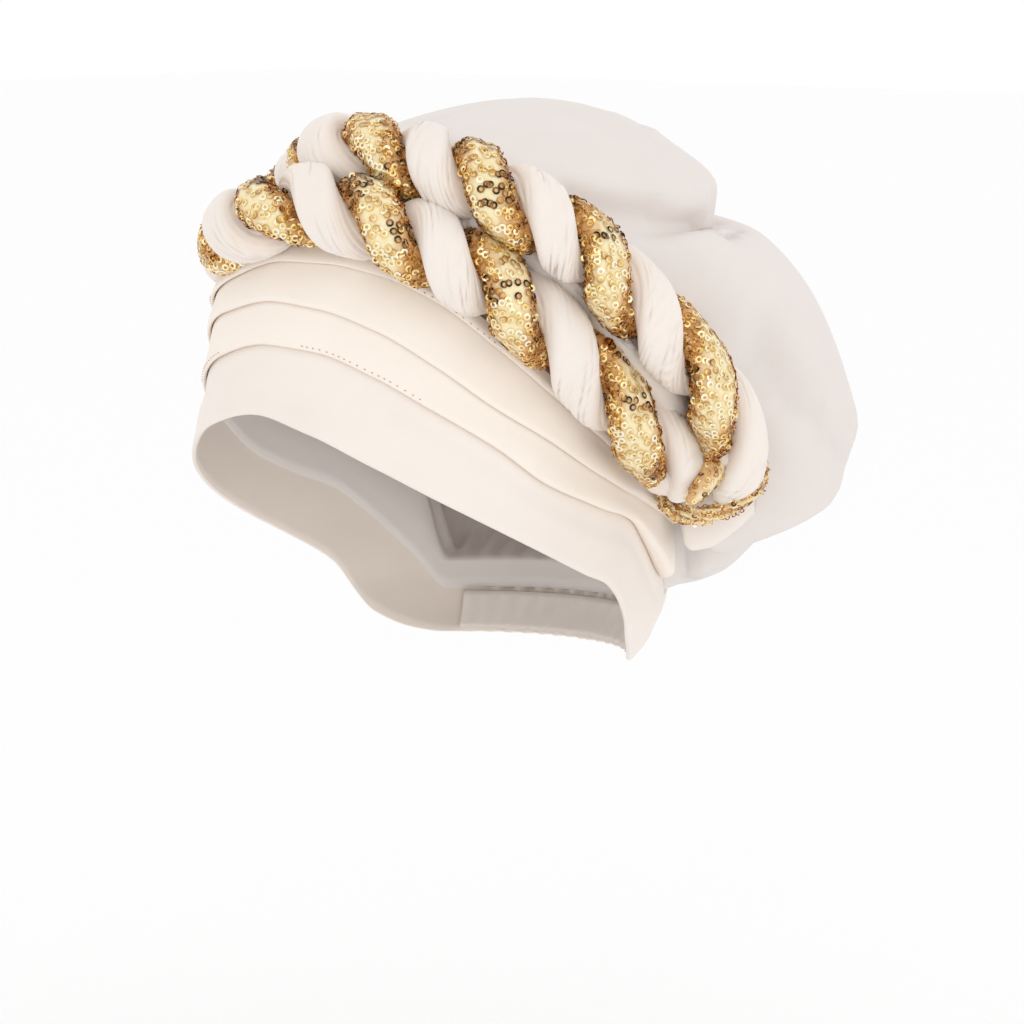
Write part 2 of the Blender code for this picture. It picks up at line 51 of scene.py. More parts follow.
FORM_SQUARENESS = 2.1
FORM_COLUMNS = ("height", "side", "front", "back")
FORM = (
    (-0.118, 0.071, 0.090, 0.101),
    (-0.104, 0.080, 0.095, 0.114),
    (-0.090, 0.084, 0.097, 0.120),
    (-0.070, 0.084, 0.098, 0.124),
    (-0.050, 0.083, 0.099, 0.123),
    (-0.028, 0.082, 0.099, 0.120),
    (-0.010, 0.081, 0.096, 0.116),
    (0.005, 0.079, 0.091, 0.112),
    (0.020, 0.077, 0.087, 0.107),
    (0.036, 0.074, 0.083, 0.101),
    (0.050, 0.070, 0.078, 0.096),
    (0.064, 0.062, 0.070, 0.088),
    (0.078, 0.050, 0.058, 0.075),
)
EDGE_COLUMNS = ("angle", "rim", "lower", "middle", "upper", "top")
EDGES = (
    (-180, -0.117, -0.096, -0.091, -0.089, -0.087),
    (-144, -0.116, -0.096, -0.091, -0.089, -0.087),
    (-136, -0.114, -0.081, -0.058, -0.050, -0.044),
    (-124, -0.106, -0.062, -0.047, -0.038, -0.031),
    (-112, -0.083, -0.048, -0.036, -0.024, -0.016),
    (-96, -0.069, -0.039, -0.022, -0.006, 0.002),
    (-80, -0.058, -0.029, -0.006, 0.010, 0.018),
    (-60, -0.044, -0.010, 0.012, 0.028, 0.036),
    (-40, -0.028, 0.007, 0.027, 0.041, 0.047),
    (-20, -0.009, 0.020, 0.038, 0.052, 0.058),
    (0, -0.001, 0.027, 0.044, 0.0595, 0.066),
    (16, -0.007, 0.025, 0.042, 0.060, 0.067),
    (32, -0.019, 0.016, 0.034, 0.056, 0.063),
    (48, -0.033, 0.002, 0.020, 0.0455, 0.053),
    (64, -0.046, -0.013, 0.003, 0.028, 0.036),
    (80, -0.058, -0.029, -0.011, 0.009, 0.017),
    (96, -0.069, -0.039, -0.025, -0.009, -0.001),
    (106, -0.075, -0.0445, -0.0325, -0.019, -0.012),
    (112, -0.083, -0.047, -0.037, -0.025, -0.018),
    (118, -0.098, -0.0515, -0.041, -0.031, -0.024),
    (124, -0.106, -0.062, -0.0465, -0.038, -0.031),
    (130, -0.111, -0.073, -0.052, -0.044, -0.037),
    (136, -0.114, -0.081, -0.058, -0.050, -0.044),
    (144, -0.116, -0.096, -0.091, -0.089, -0.087),
    (180, -0.117, -0.096, -0.091, -0.089, -0.087),
)
CLOTH = 0.0014
TUCK_UNDER = 0.008
BAND_STEP = 0.75
BAND_SWELL = 0.0006
RIM_ROUND = 0.0022
BAND_UNEVENNESS = 0.0005
BAND_PULL_IN = 0.0009
BAND_FACE_ROWS = 26
BAND_INSIDE_ROWS = 12
HEM_INSET = 0.0006
BAND_WAVE = {"degrees": 22, "height": 0.03}
ROW_CROWDING = 1.4
GATHER_REACH = (146, 158)
GATHER_DEPTH = 0.0011
GATHERS_PER_DEGREE = 0.24
SHADE_ENDS = (130, 138)


def column(table, columns, name):
    """One named column of a table."""
    place = columns.index(name)
    return np.array([row[place] for row in table], float)


def smooth_read(x, xs, ys, end_slope=0.0):
    """Reads a smooth curve through the points (xs, ys) that never overshoots them."""
    x = np.clip(x, xs[0], xs[-1])
    steps = np.diff(xs)
    slopes = np.diff(ys) / steps
    tangents = np.zeros(len(xs))
    tangents[0] = end_slope * slopes[0]
    tangents[-1] = end_slope * slopes[-1]
    for i in range(1, len(xs) - 1):
        if slopes[i - 1] * slopes[i] > 0:
            near = 2 * steps[i] + steps[i - 1]
            far = steps[i] + 2 * steps[i - 1]
            tangents[i] = (near + far) / (near / slopes[i - 1] + far / slopes[i])
    i = np.clip(np.searchsorted(xs, x, side="right") - 1, 0, len(steps) - 1)
    u = (x - xs[i]) / steps[i]
    return ((2 * u**3 - 3 * u**2 + 1) * ys[i] + (u**3 - 2 * u**2 + u) * steps[i] * tangents[i]
            + (3 * u**2 - 2 * u**3) * ys[i + 1] + (u**3 - u**2) * steps[i] * tangents[i + 1])


def ease(low, high, x):
    """Goes smoothly from 0 at low to 1 at high."""
    share = np.clip((np.asarray(x, float) - low) / (high - low), 0, 1)
    return share * share * (3 - 2 * share)


def ripple(x, y, seed):
    """A smooth uneven wave from about -1 to 1, with features about one unit long."""
    wave = 0
    for k in range(5):
        turn = 2.4 * k + 1.3 * seed
        wave = wave + np.sin(2.1 * (x * math.cos(turn) + y * math.sin(turn)) * (0.7 + 0.19 * k)
                             + 5.1 * math.sin(3.7 * k + seed))
    return wave / 3


def form_reach(angle, height):
    """Reach of the inner form that the cloth is laid on, at an angle and a height."""
    heights = column(FORM, FORM_COLUMNS, "height")
    side, front, back = (
        smooth_read(height, heights, column(FORM, FORM_COLUMNS, name), 1.0)
        for name in ("side", "front", "back")
    )
    across = np.abs(np.sin(np.radians(angle)))
    along = np.cos(np.radians(angle))
    length = np.where(along > 0, front, back)
    power = FORM_SQUARENESS
    return ((across / side) ** power + (np.abs(along) / length) ** power) ** (-1 / power)


def edge_height(name, angle):
    """Height of the rim, or of one edge of a pleat, at an angle."""
    return smooth_read(angle, column(EDGES, EDGE_COLUMNS, "angle"), column(EDGES, EDGE_COLUMNS, name))


def at(angle, reach, height):
    """The points at angles, reaches and heights."""
    turn = np.radians(angle)
    return np.stack(np.broadcast_arrays(reach * np.sin(turn), -reach * np.cos(turn), height), -1)


def on_form(angle, height, stand_off):
    """The points that stand off the inner form at angles and heights."""
    return at(angle, form_reach(angle, height) + stand_off, height)


def cloth_mesh(name, points, depth=None, round_hat=False, closed_section=True):
    """An object through a grid of points: [section, place along the section, xyz].

    A grid that goes round the hat joins its last section to its first, and any other is capped
    at both ends. depth says at each point how much painted shade its colour takes, from 0 to 1,
    deep in folds and under or between other cloth."""
    sections, places = points.shape[:2]
    index = np.arange(sections * places).reshape(sections, places)
    if round_hat:
        index = np.vstack([index, index[:1]])
    if closed_section:
        index = np.hstack([index, index[:, :1]])
    quads = np.stack([index[:-1, :-1], index[:-1, 1:], index[1:, 1:], index[1:, :-1]], -1)
    faces = quads.reshape(-1, 4).tolist()
    if not round_hat:
        faces.append(list(range(places)))
        faces.append(list(range(sections * places - 1, (sections - 1) * places - 1, -1)))
    mesh = bpy.data.meshes.new(name)
    mesh.from_pydata(points.reshape(-1, 3).tolist(), [], faces)
    mesh.shade_smooth()
    folds = mesh.attributes.new("painted_fold_shade", "FLOAT", "POINT")
    if depth is not None:
        folds.data.foreach_set("value", np.ascontiguousarray(depth, float).ravel())
    piece = bpy.data.objects.new(name, mesh)
    bpy.context.scene.collection.objects.link(piece)
    return piece


def node_group(name, inputs, outputs):
    """A shader node group with named sockets, and its input and output nodes."""
    group = bpy.data.node_groups.new(name, "ShaderNodeTree")
    for socket, kind, value in inputs:
        made = group.interface.new_socket(socket, in_out="INPUT", socket_type=kind)
        made.default_value = value
    for socket, kind in outputs:
        group.interface.new_socket(socket, in_out="OUTPUT", socket_type=kind)
    return group, group.nodes.new("NodeGroupInput"), group.nodes.new("NodeGroupOutput")


def knit_face_group():
    """The face of a fine knit: a height for the bump, and a shade that mottles the colour."""
    group, given, result = node_group(
        "Knit Face",
        (("Stitch Size", "NodeSocketFloat", 0.0006), ("Mottle Size", "NodeSocketFloat", 0.03)),
        (("Height", "NodeSocketFloat"), ("Mottle", "NodeSocketFloat")),
    )
    place = group.nodes.new("ShaderNodeTexCoord")
    outputs = (("Stitch Size", "Height", 2.0), ("Mottle Size", "Mottle", 3.0))
    for size, output, detail in outputs:
        rate = group.nodes.new("ShaderNodeMath")
        rate.operation = "DIVIDE"
        rate.inputs[0].default_value = 1.0
        group.links.new(given.outputs[size], rate.inputs[1])
        grain = group.nodes.new("ShaderNodeTexNoise")
        grain.inputs["Detail"].default_value = detail
        group.links.new(place.outputs["Object"], grain.inputs["Vector"])
        group.links.new(rate.outputs[0], grain.inputs["Scale"])
        group.links.new(grain.outputs["Fac"], result.inputs[output])
    return group


def cream_cloth(name, face, fold_shade_colour, softness=0.0):
    """Matt cream stretch cloth, with painted shade: warmer and darker where its fold shade attribute is
    high, in folds and under other cloth.
    """
    cloth = bpy.data.materials.new(name)
    cloth.use_nodes = True
    nodes, links = cloth.node_tree.nodes, cloth.node_tree.links
    shader = nodes["Principled BSDF"]
    shader.inputs["Roughness"].default_value = 0.72
    shader.inputs["Sheen Weight"].default_value = 0.12
    shader.inputs["Sheen Roughness"].default_value = 0.45
    shader.inputs["Specular IOR Level"].default_value = 0.3
    shader.inputs["Subsurface Weight"].default_value = softness
    shader.inputs["Subsurface Radius"].default_value = (1.0, 0.55, 0.35)
    shader.inputs["Subsurface Scale"].default_value = 0.005
    knit = nodes.new("ShaderNodeGroup")
    knit.node_tree = KNIT_FACE
    folds = nodes.new("ShaderNodeAttribute")
    folds.attribute_name = "painted_fold_shade"
    # Painted shade: the colour is mixed toward the shade colour by the fold shade attribute, deep in
    # folds and under or between other cloth.
    tint = nodes.new("ShaderNodeMix")
    tint.data_type = "RGBA"
    tint.inputs["A"].default_value = (*face, 1)
    tint.inputs["B"].default_value = (*fold_shade_colour, 1)
    links.new(folds.outputs["Fac"], tint.inputs["Factor"])
    mottle = nodes.new("ShaderNodeMapRange")
    mottle.inputs["To Min"].default_value = 0.965
    mottle.inputs["To Max"].default_value = 1.035
    links.new(knit.outputs["Mottle"], mottle.inputs["Value"])
    shade = nodes.new("ShaderNodeVectorMath")
    shade.operation = "SCALE"
    links.new(tint.outputs["Result"], shade.inputs[0])
    links.new(mottle.outputs["Result"], shade.inputs["Scale"])
    links.new(shade.outputs["Vector"], shader.inputs["Base Color"])
    bump = nodes.new("ShaderNodeBump")
    bump.inputs["Strength"].default_value = 0.10
    bump.inputs["Distance"].default_value = 0.0003
    links.new(knit.outputs["Height"], bump.inputs["Height"])
    links.new(bump.outputs["Normal"], shader.inputs["Normal"])
    return cloth


def dress(piece, material, slot, *nodes):
    """Gives a piece its material and its place in the frame, where it stands for CAD nodes."""
    piece.data.materials.append(material)
    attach(piece, "root")
    if nodes:
        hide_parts(*nodes)


def brow_band_points():
    """The band's closed sections: out from the rim up the face, and down the inside."""
    angle = np.arange(-180, 180, BAND_STEP)
    rim, cover = edge_height("rim", angle), edge_height("lower", angle)
    top = cover + TUCK_UNDER
    wave = np.sin(2 * math.pi * GATHERS_PER_DEGREE * angle + 1.5 * np.sin(angle / 7))
    gather = GATHER_DEPTH * ease(*GATHER_REACH, np.abs(angle)) * (1 + wave)
    places, depth = [], []
    for share in np.linspace(0, 1, BAND_FACE_ROWS) ** ROW_CROWDING:
        height = rim + (top - rim) * share
        below_cover = height - cover
        up = (height - rim) / RIM_ROUND
        face = CLOTH * (0.5 + 0.5 * np.sqrt(1 - np.clip(1 - up, 0, 1) ** 2))
        swell = BAND_SWELL * (1 - ease(0, 0.012, height - rim))
        loose = ease(0, 0.25, share) * (1 - ease(-0.010, -0.001, below_cover))
        wander = ripple(angle / BAND_WAVE["degrees"], height / BAND_WAVE["height"], 1)
        uneven = loose * (BAND_UNEVENNESS * wander)
        pull_in = BAND_PULL_IN * ease(-0.014, -0.004, below_cover) * loose
        places.append(on_form(angle, height, face + swell + uneven - pull_in + gather))
        # Painted shade where the band runs under the first pleat, fading out where the pleats end.
        depth.append(0.75 * ease(-0.004, 0.001, below_cover) * (1 - ease(*SHADE_ENDS, np.abs(angle))))
    for share in np.linspace(1, 0, BAND_INSIDE_ROWS):
        height = rim + HEM_INSET + (top - rim - HEM_INSET) * share
        places.append(on_form(angle, height, gather))
        # Painted shade on the band's inside.
        depth.append(np.full(len(angle), 0.5))
    return np.stack(places, 1), np.stack(depth, 1)


KNIT_FACE = knit_face_group()
CREAM = (0.888, 0.815, 0.752)
# Painted shade colour, for cloth deep in folds and under other cloth:
CREAM_PAINTED_FOLD_SHADE = (0.86, 0.74, 0.64)
brow_cloth = cream_cloth("Cream stretch cloth", CREAM, CREAM_PAINTED_FOLD_SHADE)
band_points, band_painted_shade = brow_band_points()
brow_band = cloth_mesh("brow_band_cloth", band_points, band_painted_shade, round_hat=True)
dress(brow_band, brow_cloth, "cream_cloth", "brow_band")


# Pleats. Three strips of the same cloth, each folded double and laid over the top of the strip
# below, so that its fold stands out as a soft roll. Their ends are drawn down at the sides and
# caught in the seam between the band and the crown.

LAYER_GAP = 0.0005
PLEAT_END = 134.5
PLEAT_STEP = 1.0
PLEAT_INSIDE_ROWS = 7
PLEAT_FACE_ROWS = 26
PLEAT_CROWDING = 1.5
PLEAT_UNEVENNESS = 0.00035
PLEAT_WAVE = {"degrees": 16, "height": 0.02}
EDGE_UNEVENNESS = 0.0003
EDGE_WAVE = 14
FOLD_INSET = 0.0008
ROLL = 0.0019
ROLL_ROUND = 0.0034
END_BULGE = 0.0045
BULGE_REACH = (112, 130)


def pleat_points(edge, next_edge, layer):
    """A pleat's closed sections: up its inner side, down its face and round its fold, with painted shade.
    """
    angle = np.arange(-PLEAT_END, PLEAT_END + 0.01, PLEAT_STEP)
    inner = layer * (CLOTH + LAYER_GAP)
    bulge = END_BULGE * ease(*BULGE_REACH, np.abs(angle))
    low = edge_height(edge, angle) + EDGE_UNEVENNESS * ripple(angle / EDGE_WAVE, 0, layer)
    cover = edge_height(next_edge, angle)
    top = np.minimum(cover + TUCK_UNDER, edge_height("top", angle))
    places, depth = [], []
    for share in np.linspace(0, 1, PLEAT_INSIDE_ROWS):
        height = low + FOLD_INSET + (top - low - FOLD_INSET) * share
        places.append(on_form(angle, height, inner + 0 * angle))
        # Painted shade on the pleat's hidden inner side.
        depth.append(np.full(len(angle), 0.8))
    for share in np.linspace(1, 0, PLEAT_FACE_ROWS) ** PLEAT_CROWDING:
        height = low + (top - low) * share
        up = (height - low) / ROLL_ROUND
        rounded = np.sqrt(1 - np.clip(1 - up, 0, 1) ** 2)
        span = (height - low) / np.maximum(cover - low, 0.004)
        swell = (ROLL - CLOTH) * (1 - ease(0.30, 0.95, span))
        free = ease(0, 0.5, span) * (1 - ease(0.6, 0.95, span))
        wander = ripple(angle / PLEAT_WAVE["degrees"], height / PLEAT_WAVE["height"], layer)
        uneven = PLEAT_UNEVENNESS * wander * free
        stuffed = CLOTH + swell + bulge
        places.append(on_form(angle, height, inner + stuffed * (0.35 + 0.65 * rounded) + uneven))
        # Painted shade under the next pleat's fold and along this pleat's own fold edge.
        depth.append(0.7 * ease(0.93, 1.02, span) + 0.5 * (1 - ease(0, 0.2, up)))
    return np.stack(places, 1), np.clip(np.stack(depth, 1), 0, 1)


PLEAT_COLUMNS = ("name", "node", "edge", "next_edge", "layer", "flat")
PLEATS = (
    ("first_pleat", "pleat_lower", "lower", "middle", 1, (0.50, 0.030)),
    ("second_pleat", "pleat_middle", "middle", "upper", 2, (0.48, 0.030)),
    ("third_pleat", "pleat_upper", "upper", "top", 3, (0.45, 0.011)),
)
# Painted light: the pleats take a lighter copy of the same cream, so that they stay bright in the shade
# of the ropes.
PLEAT_CREAM_PAINTED_LIGHTER = (0.935, 0.852, 0.768)
pleat_cloth_painted_lighter = cream_cloth("Cream pleat cloth painted lighter", PLEAT_CREAM_PAINTED_LIGHTER, CREAM_PAINTED_FOLD_SHADE)
for row in PLEATS:
    pleat = dict(zip(PLEAT_COLUMNS, row))
    points, depth = pleat_points(pleat["edge"], pleat["next_edge"], pleat["layer"])
    strip = cloth_mesh(pleat["name"], points, depth)
    dress(strip, pleat_cloth_painted_lighter, "cream_cloth", pleat["node"])


# Topstitches. Short stitches of brown thread show here and there along the folds of the first
# and the third pleat, where they are sewn down.

STITCH_COLUMNS = ("edge", "layer", "start", "end", "above")
STITCHED = (
    ("lower", 1, 12.0, 44.0, 0.0016),
    ("upper", 3, 40.0, 66.0, 0.0014),
    ("lower", 1, -44.0, -20.0, 0.0016),
    ("upper", 3, -66.0, -40.0, 0.0014),
)
STITCH_PITCH = 1.75
STITCH_WANDER = 0.3
STITCH_SPAN = 0.4
STITCH_LENGTH = 0.0011
STITCH_WIDTH = 0.00022
STITCH_LIFT = 0.00008
STITCH_RISE = 0.00025
STITCH_DIP = 0.0005
STITCH_FACES = np.array([
    (0, 1, 4), (1, 2, 4), (2, 3, 4), (3, 0, 4),
    (1, 0, 5), (2, 1, 5), (3, 2, 5), (0, 3, 5),
])


def unit(vectors):
    """The vectors at length 1."""
    return vectors / np.linalg.norm(vectors, axis=-1, keepdims=True)


def stitch_points():
    """The corners of every stitch, each a flat lens that stands a little proud of the cloth."""
    stitches = []
    for row in STITCHED:
        seam = dict(zip(STITCH_COLUMNS, row))
        stand_off = seam["layer"] * (CLOTH + LAYER_GAP) + ROLL + STITCH_LIFT
        for k, place in enumerate(np.arange(seam["start"], seam["end"], STITCH_PITCH)):
            start = place + STITCH_WANDER * math.sin(5.3 * k)
            angle = np.array([start, start + STITCH_SPAN])
            centre = on_form(angle, edge_height(seam["edge"], angle) + seam["above"], stand_off)
            ahead = unit(centre[1] - centre[0])
            out = unit(centre[0] * (1, 1, 0))
            half, side = ahead * STITCH_LENGTH / 2, np.cross(ahead, out) * STITCH_WIDTH
            corners = (-half, side, half, -side, out * STITCH_RISE, -out * STITCH_DIP)
            stitches.append([centre[0] + corner for corner in corners])
    return np.array(stitches)


stitch_corners = stitch_points()
first_corners = stitch_corners.shape[1] * np.arange(len(stitch_corners))
stitch_faces = (STITCH_FACES[None] + first_corners[:, None, None]).reshape(-1, 3)
stitch_mesh = bpy.data.meshes.new("topstitches")
stitch_mesh.from_pydata(stitch_corners.reshape(-1, 3).tolist(), [], stitch_faces.tolist())
stitches = bpy.data.objects.new("topstitches", stitch_mesh)
bpy.context.scene.collection.objects.link(stitches)
thread = bpy.data.materials.new("Brown thread")
thread.use_nodes = True
thread_shader = thread.node_tree.nodes["Principled BSDF"]
thread_shader.inputs["Base Color"].default_value = (0.42, 0.27, 0.17, 1)
thread_shader.inputs["Roughness"].default_value = 0.6
dress(stitches, thread, "cream_cloth")


# Crown. One large bag of the same cloth, sewn to the band at the nape and under the pleats at
# the front. It stands up behind the ropes and sags over the nape. It is soft, so the two
# ropes press beds into it.

RING_COLUMNS = (
    "angle", "under", "sag", "low", "belly", "shoulder", "ledge", "crease", "lobe", "crest",
)
RING_REACH = (
    (-180, 0.142, 0.160, 0.182, 0.197, 0.185, 0.154, 0.133, 0.134, 0.106),
    (-152, 0.134, 0.155, 0.178, 0.189, 0.175, 0.146, 0.129, 0.131, 0.100),
    (-144, 0.128, 0.146, 0.172, 0.183, 0.169, 0.141, 0.125, 0.125, 0.094),
    (-136, 0.113, 0.127, 0.152, 0.166, 0.160, 0.132, 0.116, 0.118, 0.088),
    (-128, 0.105, 0.113, 0.122, 0.132, 0.138, 0.118, 0.106, 0.106, 0.082),
    (-120, 0.096, 0.101, 0.109, 0.117, 0.122, 0.106, 0.092, 0.092, 0.074),
    (-110, 0.089, 0.091, 0.096, 0.100, 0.096, 0.086, 0.080, 0.078, 0.064),
    (-90, 0.078, 0.077, 0.074, 0.068, 0.060, 0.055, 0.052, 0.050, 0.040),
    (-60, 0.073, 0.069, 0.064, 0.056, 0.048, 0.038, 0.030, 0.024, 0.016),
    (-30, 0.067, 0.064, 0.060, 0.054, 0.046, 0.034, 0.026, 0.018, 0.006),
    (0, 0.066, 0.064, 0.062, 0.058, 0.050, 0.040, 0.034, 0.024, 0.006),
    (30, 0.069, 0.067, 0.066, 0.062, 0.054, 0.047, 0.040, 0.028, 0.010),
    (60, 0.075, 0.076, 0.077, 0.076, 0.072, 0.070, 0.067, 0.056, 0.030),
    (90, 0.082, 0.086, 0.090, 0.093, 0.093, 0.094, 0.090, 0.083, 0.056),
    (110, 0.092, 0.099, 0.104, 0.109, 0.115, 0.109, 0.100, 0.099, 0.073),
    (120, 0.100, 0.108, 0.118, 0.127, 0.134, 0.120, 0.109, 0.110, 0.085),
    (128, 0.105, 0.113, 0.122, 0.135, 0.148, 0.128, 0.115, 0.117, 0.092),
    (136, 0.113, 0.126, 0.159, 0.174, 0.163, 0.136, 0.120, 0.122, 0.097),
    (144, 0.128, 0.147, 0.179, 0.188, 0.170, 0.141, 0.125, 0.127, 0.101),
    (152, 0.134, 0.155, 0.178, 0.189, 0.175, 0.146, 0.129, 0.131, 0.104),
    (180, 0.142, 0.160, 0.182, 0.197, 0.185, 0.154, 0.133, 0.134, 0.106),
)
RING_HEIGHT = (
    (-180, -0.080, -0.066, -0.053, -0.014, 0.040, 0.067, 0.068, 0.085, 0.106),
    (-152, -0.078, -0.064, -0.051, -0.018, 0.036, 0.062, 0.064, 0.082, 0.103),
    (-144, -0.079, -0.064, -0.049, -0.018, 0.036, 0.061, 0.063, 0.081, 0.102),
    (-136, -0.0415, -0.068, -0.052, -0.014, 0.034, 0.060, 0.062, 0.080, 0.101),
    (-128, -0.031, -0.029, -0.022, -0.004, 0.034, 0.060, 0.062, 0.080, 0.100),
    (-120, -0.023, -0.018, -0.008, 0.004, 0.036, 0.060, 0.064, 0.080, 0.100),
    (-110, -0.008, 0.004, 0.014, 0.024, 0.044, 0.062, 0.068, 0.082, 0.100),
    (-90, 0.014, 0.026, 0.036, 0.046, 0.056, 0.064, 0.070, 0.082, 0.098),
    (-60, 0.042, 0.050, 0.058, 0.068, 0.074, 0.078, 0.082, 0.092, 0.103),
    (-30, 0.062, 0.069, 0.074, 0.078, 0.080, 0.082, 0.086, 0.096, 0.107),
    (0, 0.072, 0.078, 0.083, 0.087, 0.088, 0.090, 0.095, 0.102, 0.108),
    (30, 0.070, 0.076, 0.081, 0.085, 0.087, 0.091, 0.097, 0.103, 0.109),
    (60, 0.048, 0.056, 0.064, 0.073, 0.083, 0.092, 0.099, 0.106, 0.1115),
    (90, 0.016, 0.024, 0.032, 0.041, 0.052, 0.064, 0.077, 0.091, 0.110),
    (110, -0.008, 0.001, 0.008, 0.016, 0.040, 0.064, 0.071, 0.086, 0.109),
    (120, -0.021, -0.016, -0.010, 0.002, 0.036, 0.067, 0.069, 0.085, 0.108),
    (128, -0.031, -0.029, -0.022, -0.004, 0.035, 0.067, 0.068, 0.085, 0.108),
    (136, -0.0415, -0.068, -0.053, -0.016, 0.034, 0.066, 0.067, 0.085, 0.108),
    (144, -0.079, -0.064, -0.050, -0.018, 0.036, 0.065, 0.066, 0.084, 0.107),
    (152, -0.078, -0.064, -0.051, -0.018, 0.036, 0.065, 0.066, 0.084, 0.107),
    (180, -0.080, -0.066, -0.053, -0.014, 0.040, 0.067, 0.068, 0.085, 0.106),
)
CROWN_TOP = np.array((0.020, 0.050, 0.120))
CROWN_STEP = 1.0
CROWN_ROW = 0.125
DOME_ROWS = 12
DOME_CLOSED = 0.998
SEAM_GAP = 0.0005
HEM_BELOW_SEAM = 0.002
HEM_ABOVE_SEAM = 0.003
COLLAR_RISE = 0.001
LIP_OUT = 0.0020
LIP_UP = 0.0024
ROUTE_COLUMNS = ("angle", "reach", "height", "turn")
FRONT_ROUTE = (
    (-122, 0.114, -0.032, -4.10),
    (-105, 0.104, 0.006, -3.25),
    (-90, 0.092, 0.031, -2.60),
    (-75, 0.080, 0.049, -2.08),
    (-60, 0.075, 0.059, -1.65),
    (-50, 0.075, 0.061, -1.39),
    (-40, 0.077, 0.0635, -1.12),
    (-30, 0.079, 0.067, -0.84),
    (-20, 0.082, 0.0715, -0.55),
    (-4, 0.083, 0.0775, -0.10),
    (8, 0.079, 0.083, 0.28),
    (24, 0.081, 0.080, 0.72),
    (39, 0.085, 0.073, 1.13),
    (51, 0.0895, 0.063, 1.55),
    (64, 0.0915, 0.0515, 2.00),
    (74, 0.094, 0.037, 2.33),
    (86, 0.097, 0.019, 2.70),
    (97, 0.102, -0.0005, 3.05),
    (108, 0.108, -0.0165, 3.35),
    (122, 0.114, -0.032, 3.75),
)
REAR_ROUTE = (
    (-124, 0.134, -0.036, -3.85),
    (-119, 0.137, 0.000, -3.20),
    (-112, 0.127, 0.030, -2.60),
    (-102, 0.104, 0.053, -1.90),
    (-90, 0.075, 0.073, -1.20),
    (-75, 0.055, 0.086, -0.66),
    (-60, 0.043, 0.091, -0.33),
    (-40, 0.038, 0.096, -0.05),
    (-14, 0.044, 0.1015, 0.30),
    (9, 0.052, 0.103, 0.68),
    (32, 0.058, 0.103, 1.04),
    (50, 0.074, 0.098, 1.55),
    (62, 0.088, 0.091, 2.04),
    (72, 0.099, 0.079, 2.45),
    (83, 0.106, 0.065, 2.96),
    (92, 0.112, 0.047, 3.37),
    (102, 0.120, 0.0275, 3.80),
    (110, 0.130, 0.006, 4.19),
    (117, 0.134, -0.015, 4.50),
    (124, 0.132, -0.038, 4.80),
)
ROUTE_SAMPLES = 1200
STATIONS_PER_TURN = 60
ROPE_RADIUS = 0.0161
ROPE_FLATNESS = 0.80
ROPE_LEAN = 0.5
ROPE_TAPER = 0.015
TAPERED_RADIUS = 0.45
BED_ROOM = -0.0004
BED_SEARCH = 0.03
HIDDEN_ROWS = 4


def rope_stations(route):
    """Stations along a rope: centres, outward and across directions, turns and sizes."""
    angles, reaches, heights, turns = (column(route, ROUTE_COLUMNS, name) for name in ROUTE_COLUMNS)
    sweep = np.linspace(angles[0], angles[-1], ROUTE_SAMPLES)
    line = at(sweep, smooth_read(sweep, angles, reaches, 1.0), smooth_read(sweep, angles, heights, 1.0))
    along = np.concatenate([[0], np.cumsum(np.linalg.norm(np.diff(line, axis=0), axis=1))])
    count = round((turns[-1] - turns[0]) * STATIONS_PER_TURN)
    run = np.linspace(0, along[-1], count + 1)
    centre = np.stack([np.interp(run, along, line[:, k]) for k in range(3)], -1)
    ahead = unit(np.gradient(centre, axis=0))
    outward = centre * (1, 1, ROPE_LEAN)
    outward = unit(outward - ahead * np.sum(outward * ahead, -1, keepdims=True))
    turn = np.interp(run, along, smooth_read(sweep, angles, turns, 1.0))
    edge = np.clip(np.minimum(run, along[-1] - run) / ROPE_TAPER, 0, 1)
    size = TAPERED_RADIUS + (1 - TAPERED_RADIUS) * np.sin(edge * math.pi / 2)
    return {
        "run": run, "centre": centre, "ahead": ahead, "outward": outward,
        "across": np.cross(ahead, outward), "turn": turn, "size": size,
    }


def crown_meridian(angle):
    """The crown's outer face at one angle, from its hem behind the band up to the crest."""
    seam, lip = float(edge_height("lower", angle)), float(edge_height("top", angle))
    collar = min(seam + TUCK_UNDER + COLLAR_RISE, lip)
    brim = max(lip, collar + COLLAR_RISE)
    covered = np.array((seam - HEM_BELOW_SEAM, seam + HEM_ABOVE_SEAM, collar, brim))
    hidden = on_form(np.full(HIDDEN_ROWS, float(angle)), covered, -SEAM_GAP)
    angles = column(RING_REACH, RING_COLUMNS, "angle")
    reaches, heights = [float(form_reach(angle, lip)) + LIP_OUT], [lip + LIP_UP]
    for name in RING_COLUMNS[1:]:
        reaches.append(float(smooth_read(angle, angles, column(RING_REACH, RING_COLUMNS, name))))
        heights.append(float(smooth_read(angle, angles, column(RING_HEIGHT, RING_COLUMNS, name))))
    places = np.arange(len(reaches), dtype=float)
    stops = np.arange(0, places[-1] + CROWN_ROW / 2, CROWN_ROW)
    reach = smooth_read(stops, places, np.array(reaches), 1.0)
    height = smooth_read(stops, places, np.array(heights), 1.0)
    open_part = at(np.full(len(stops), float(angle)), reach, height)
    share = np.linspace(0, DOME_CLOSED, DOME_ROWS + 1)[1:, None]
    dome = open_part[-1] + (CROWN_TOP - open_part[-1]) * share
    dome[:, 2] = open_part[-1, 2] + (CROWN_TOP[2] - open_part[-1, 2]) * np.sin(share[:, 0] * math.pi / 2)
    return np.vstack([hidden, open_part, dome])


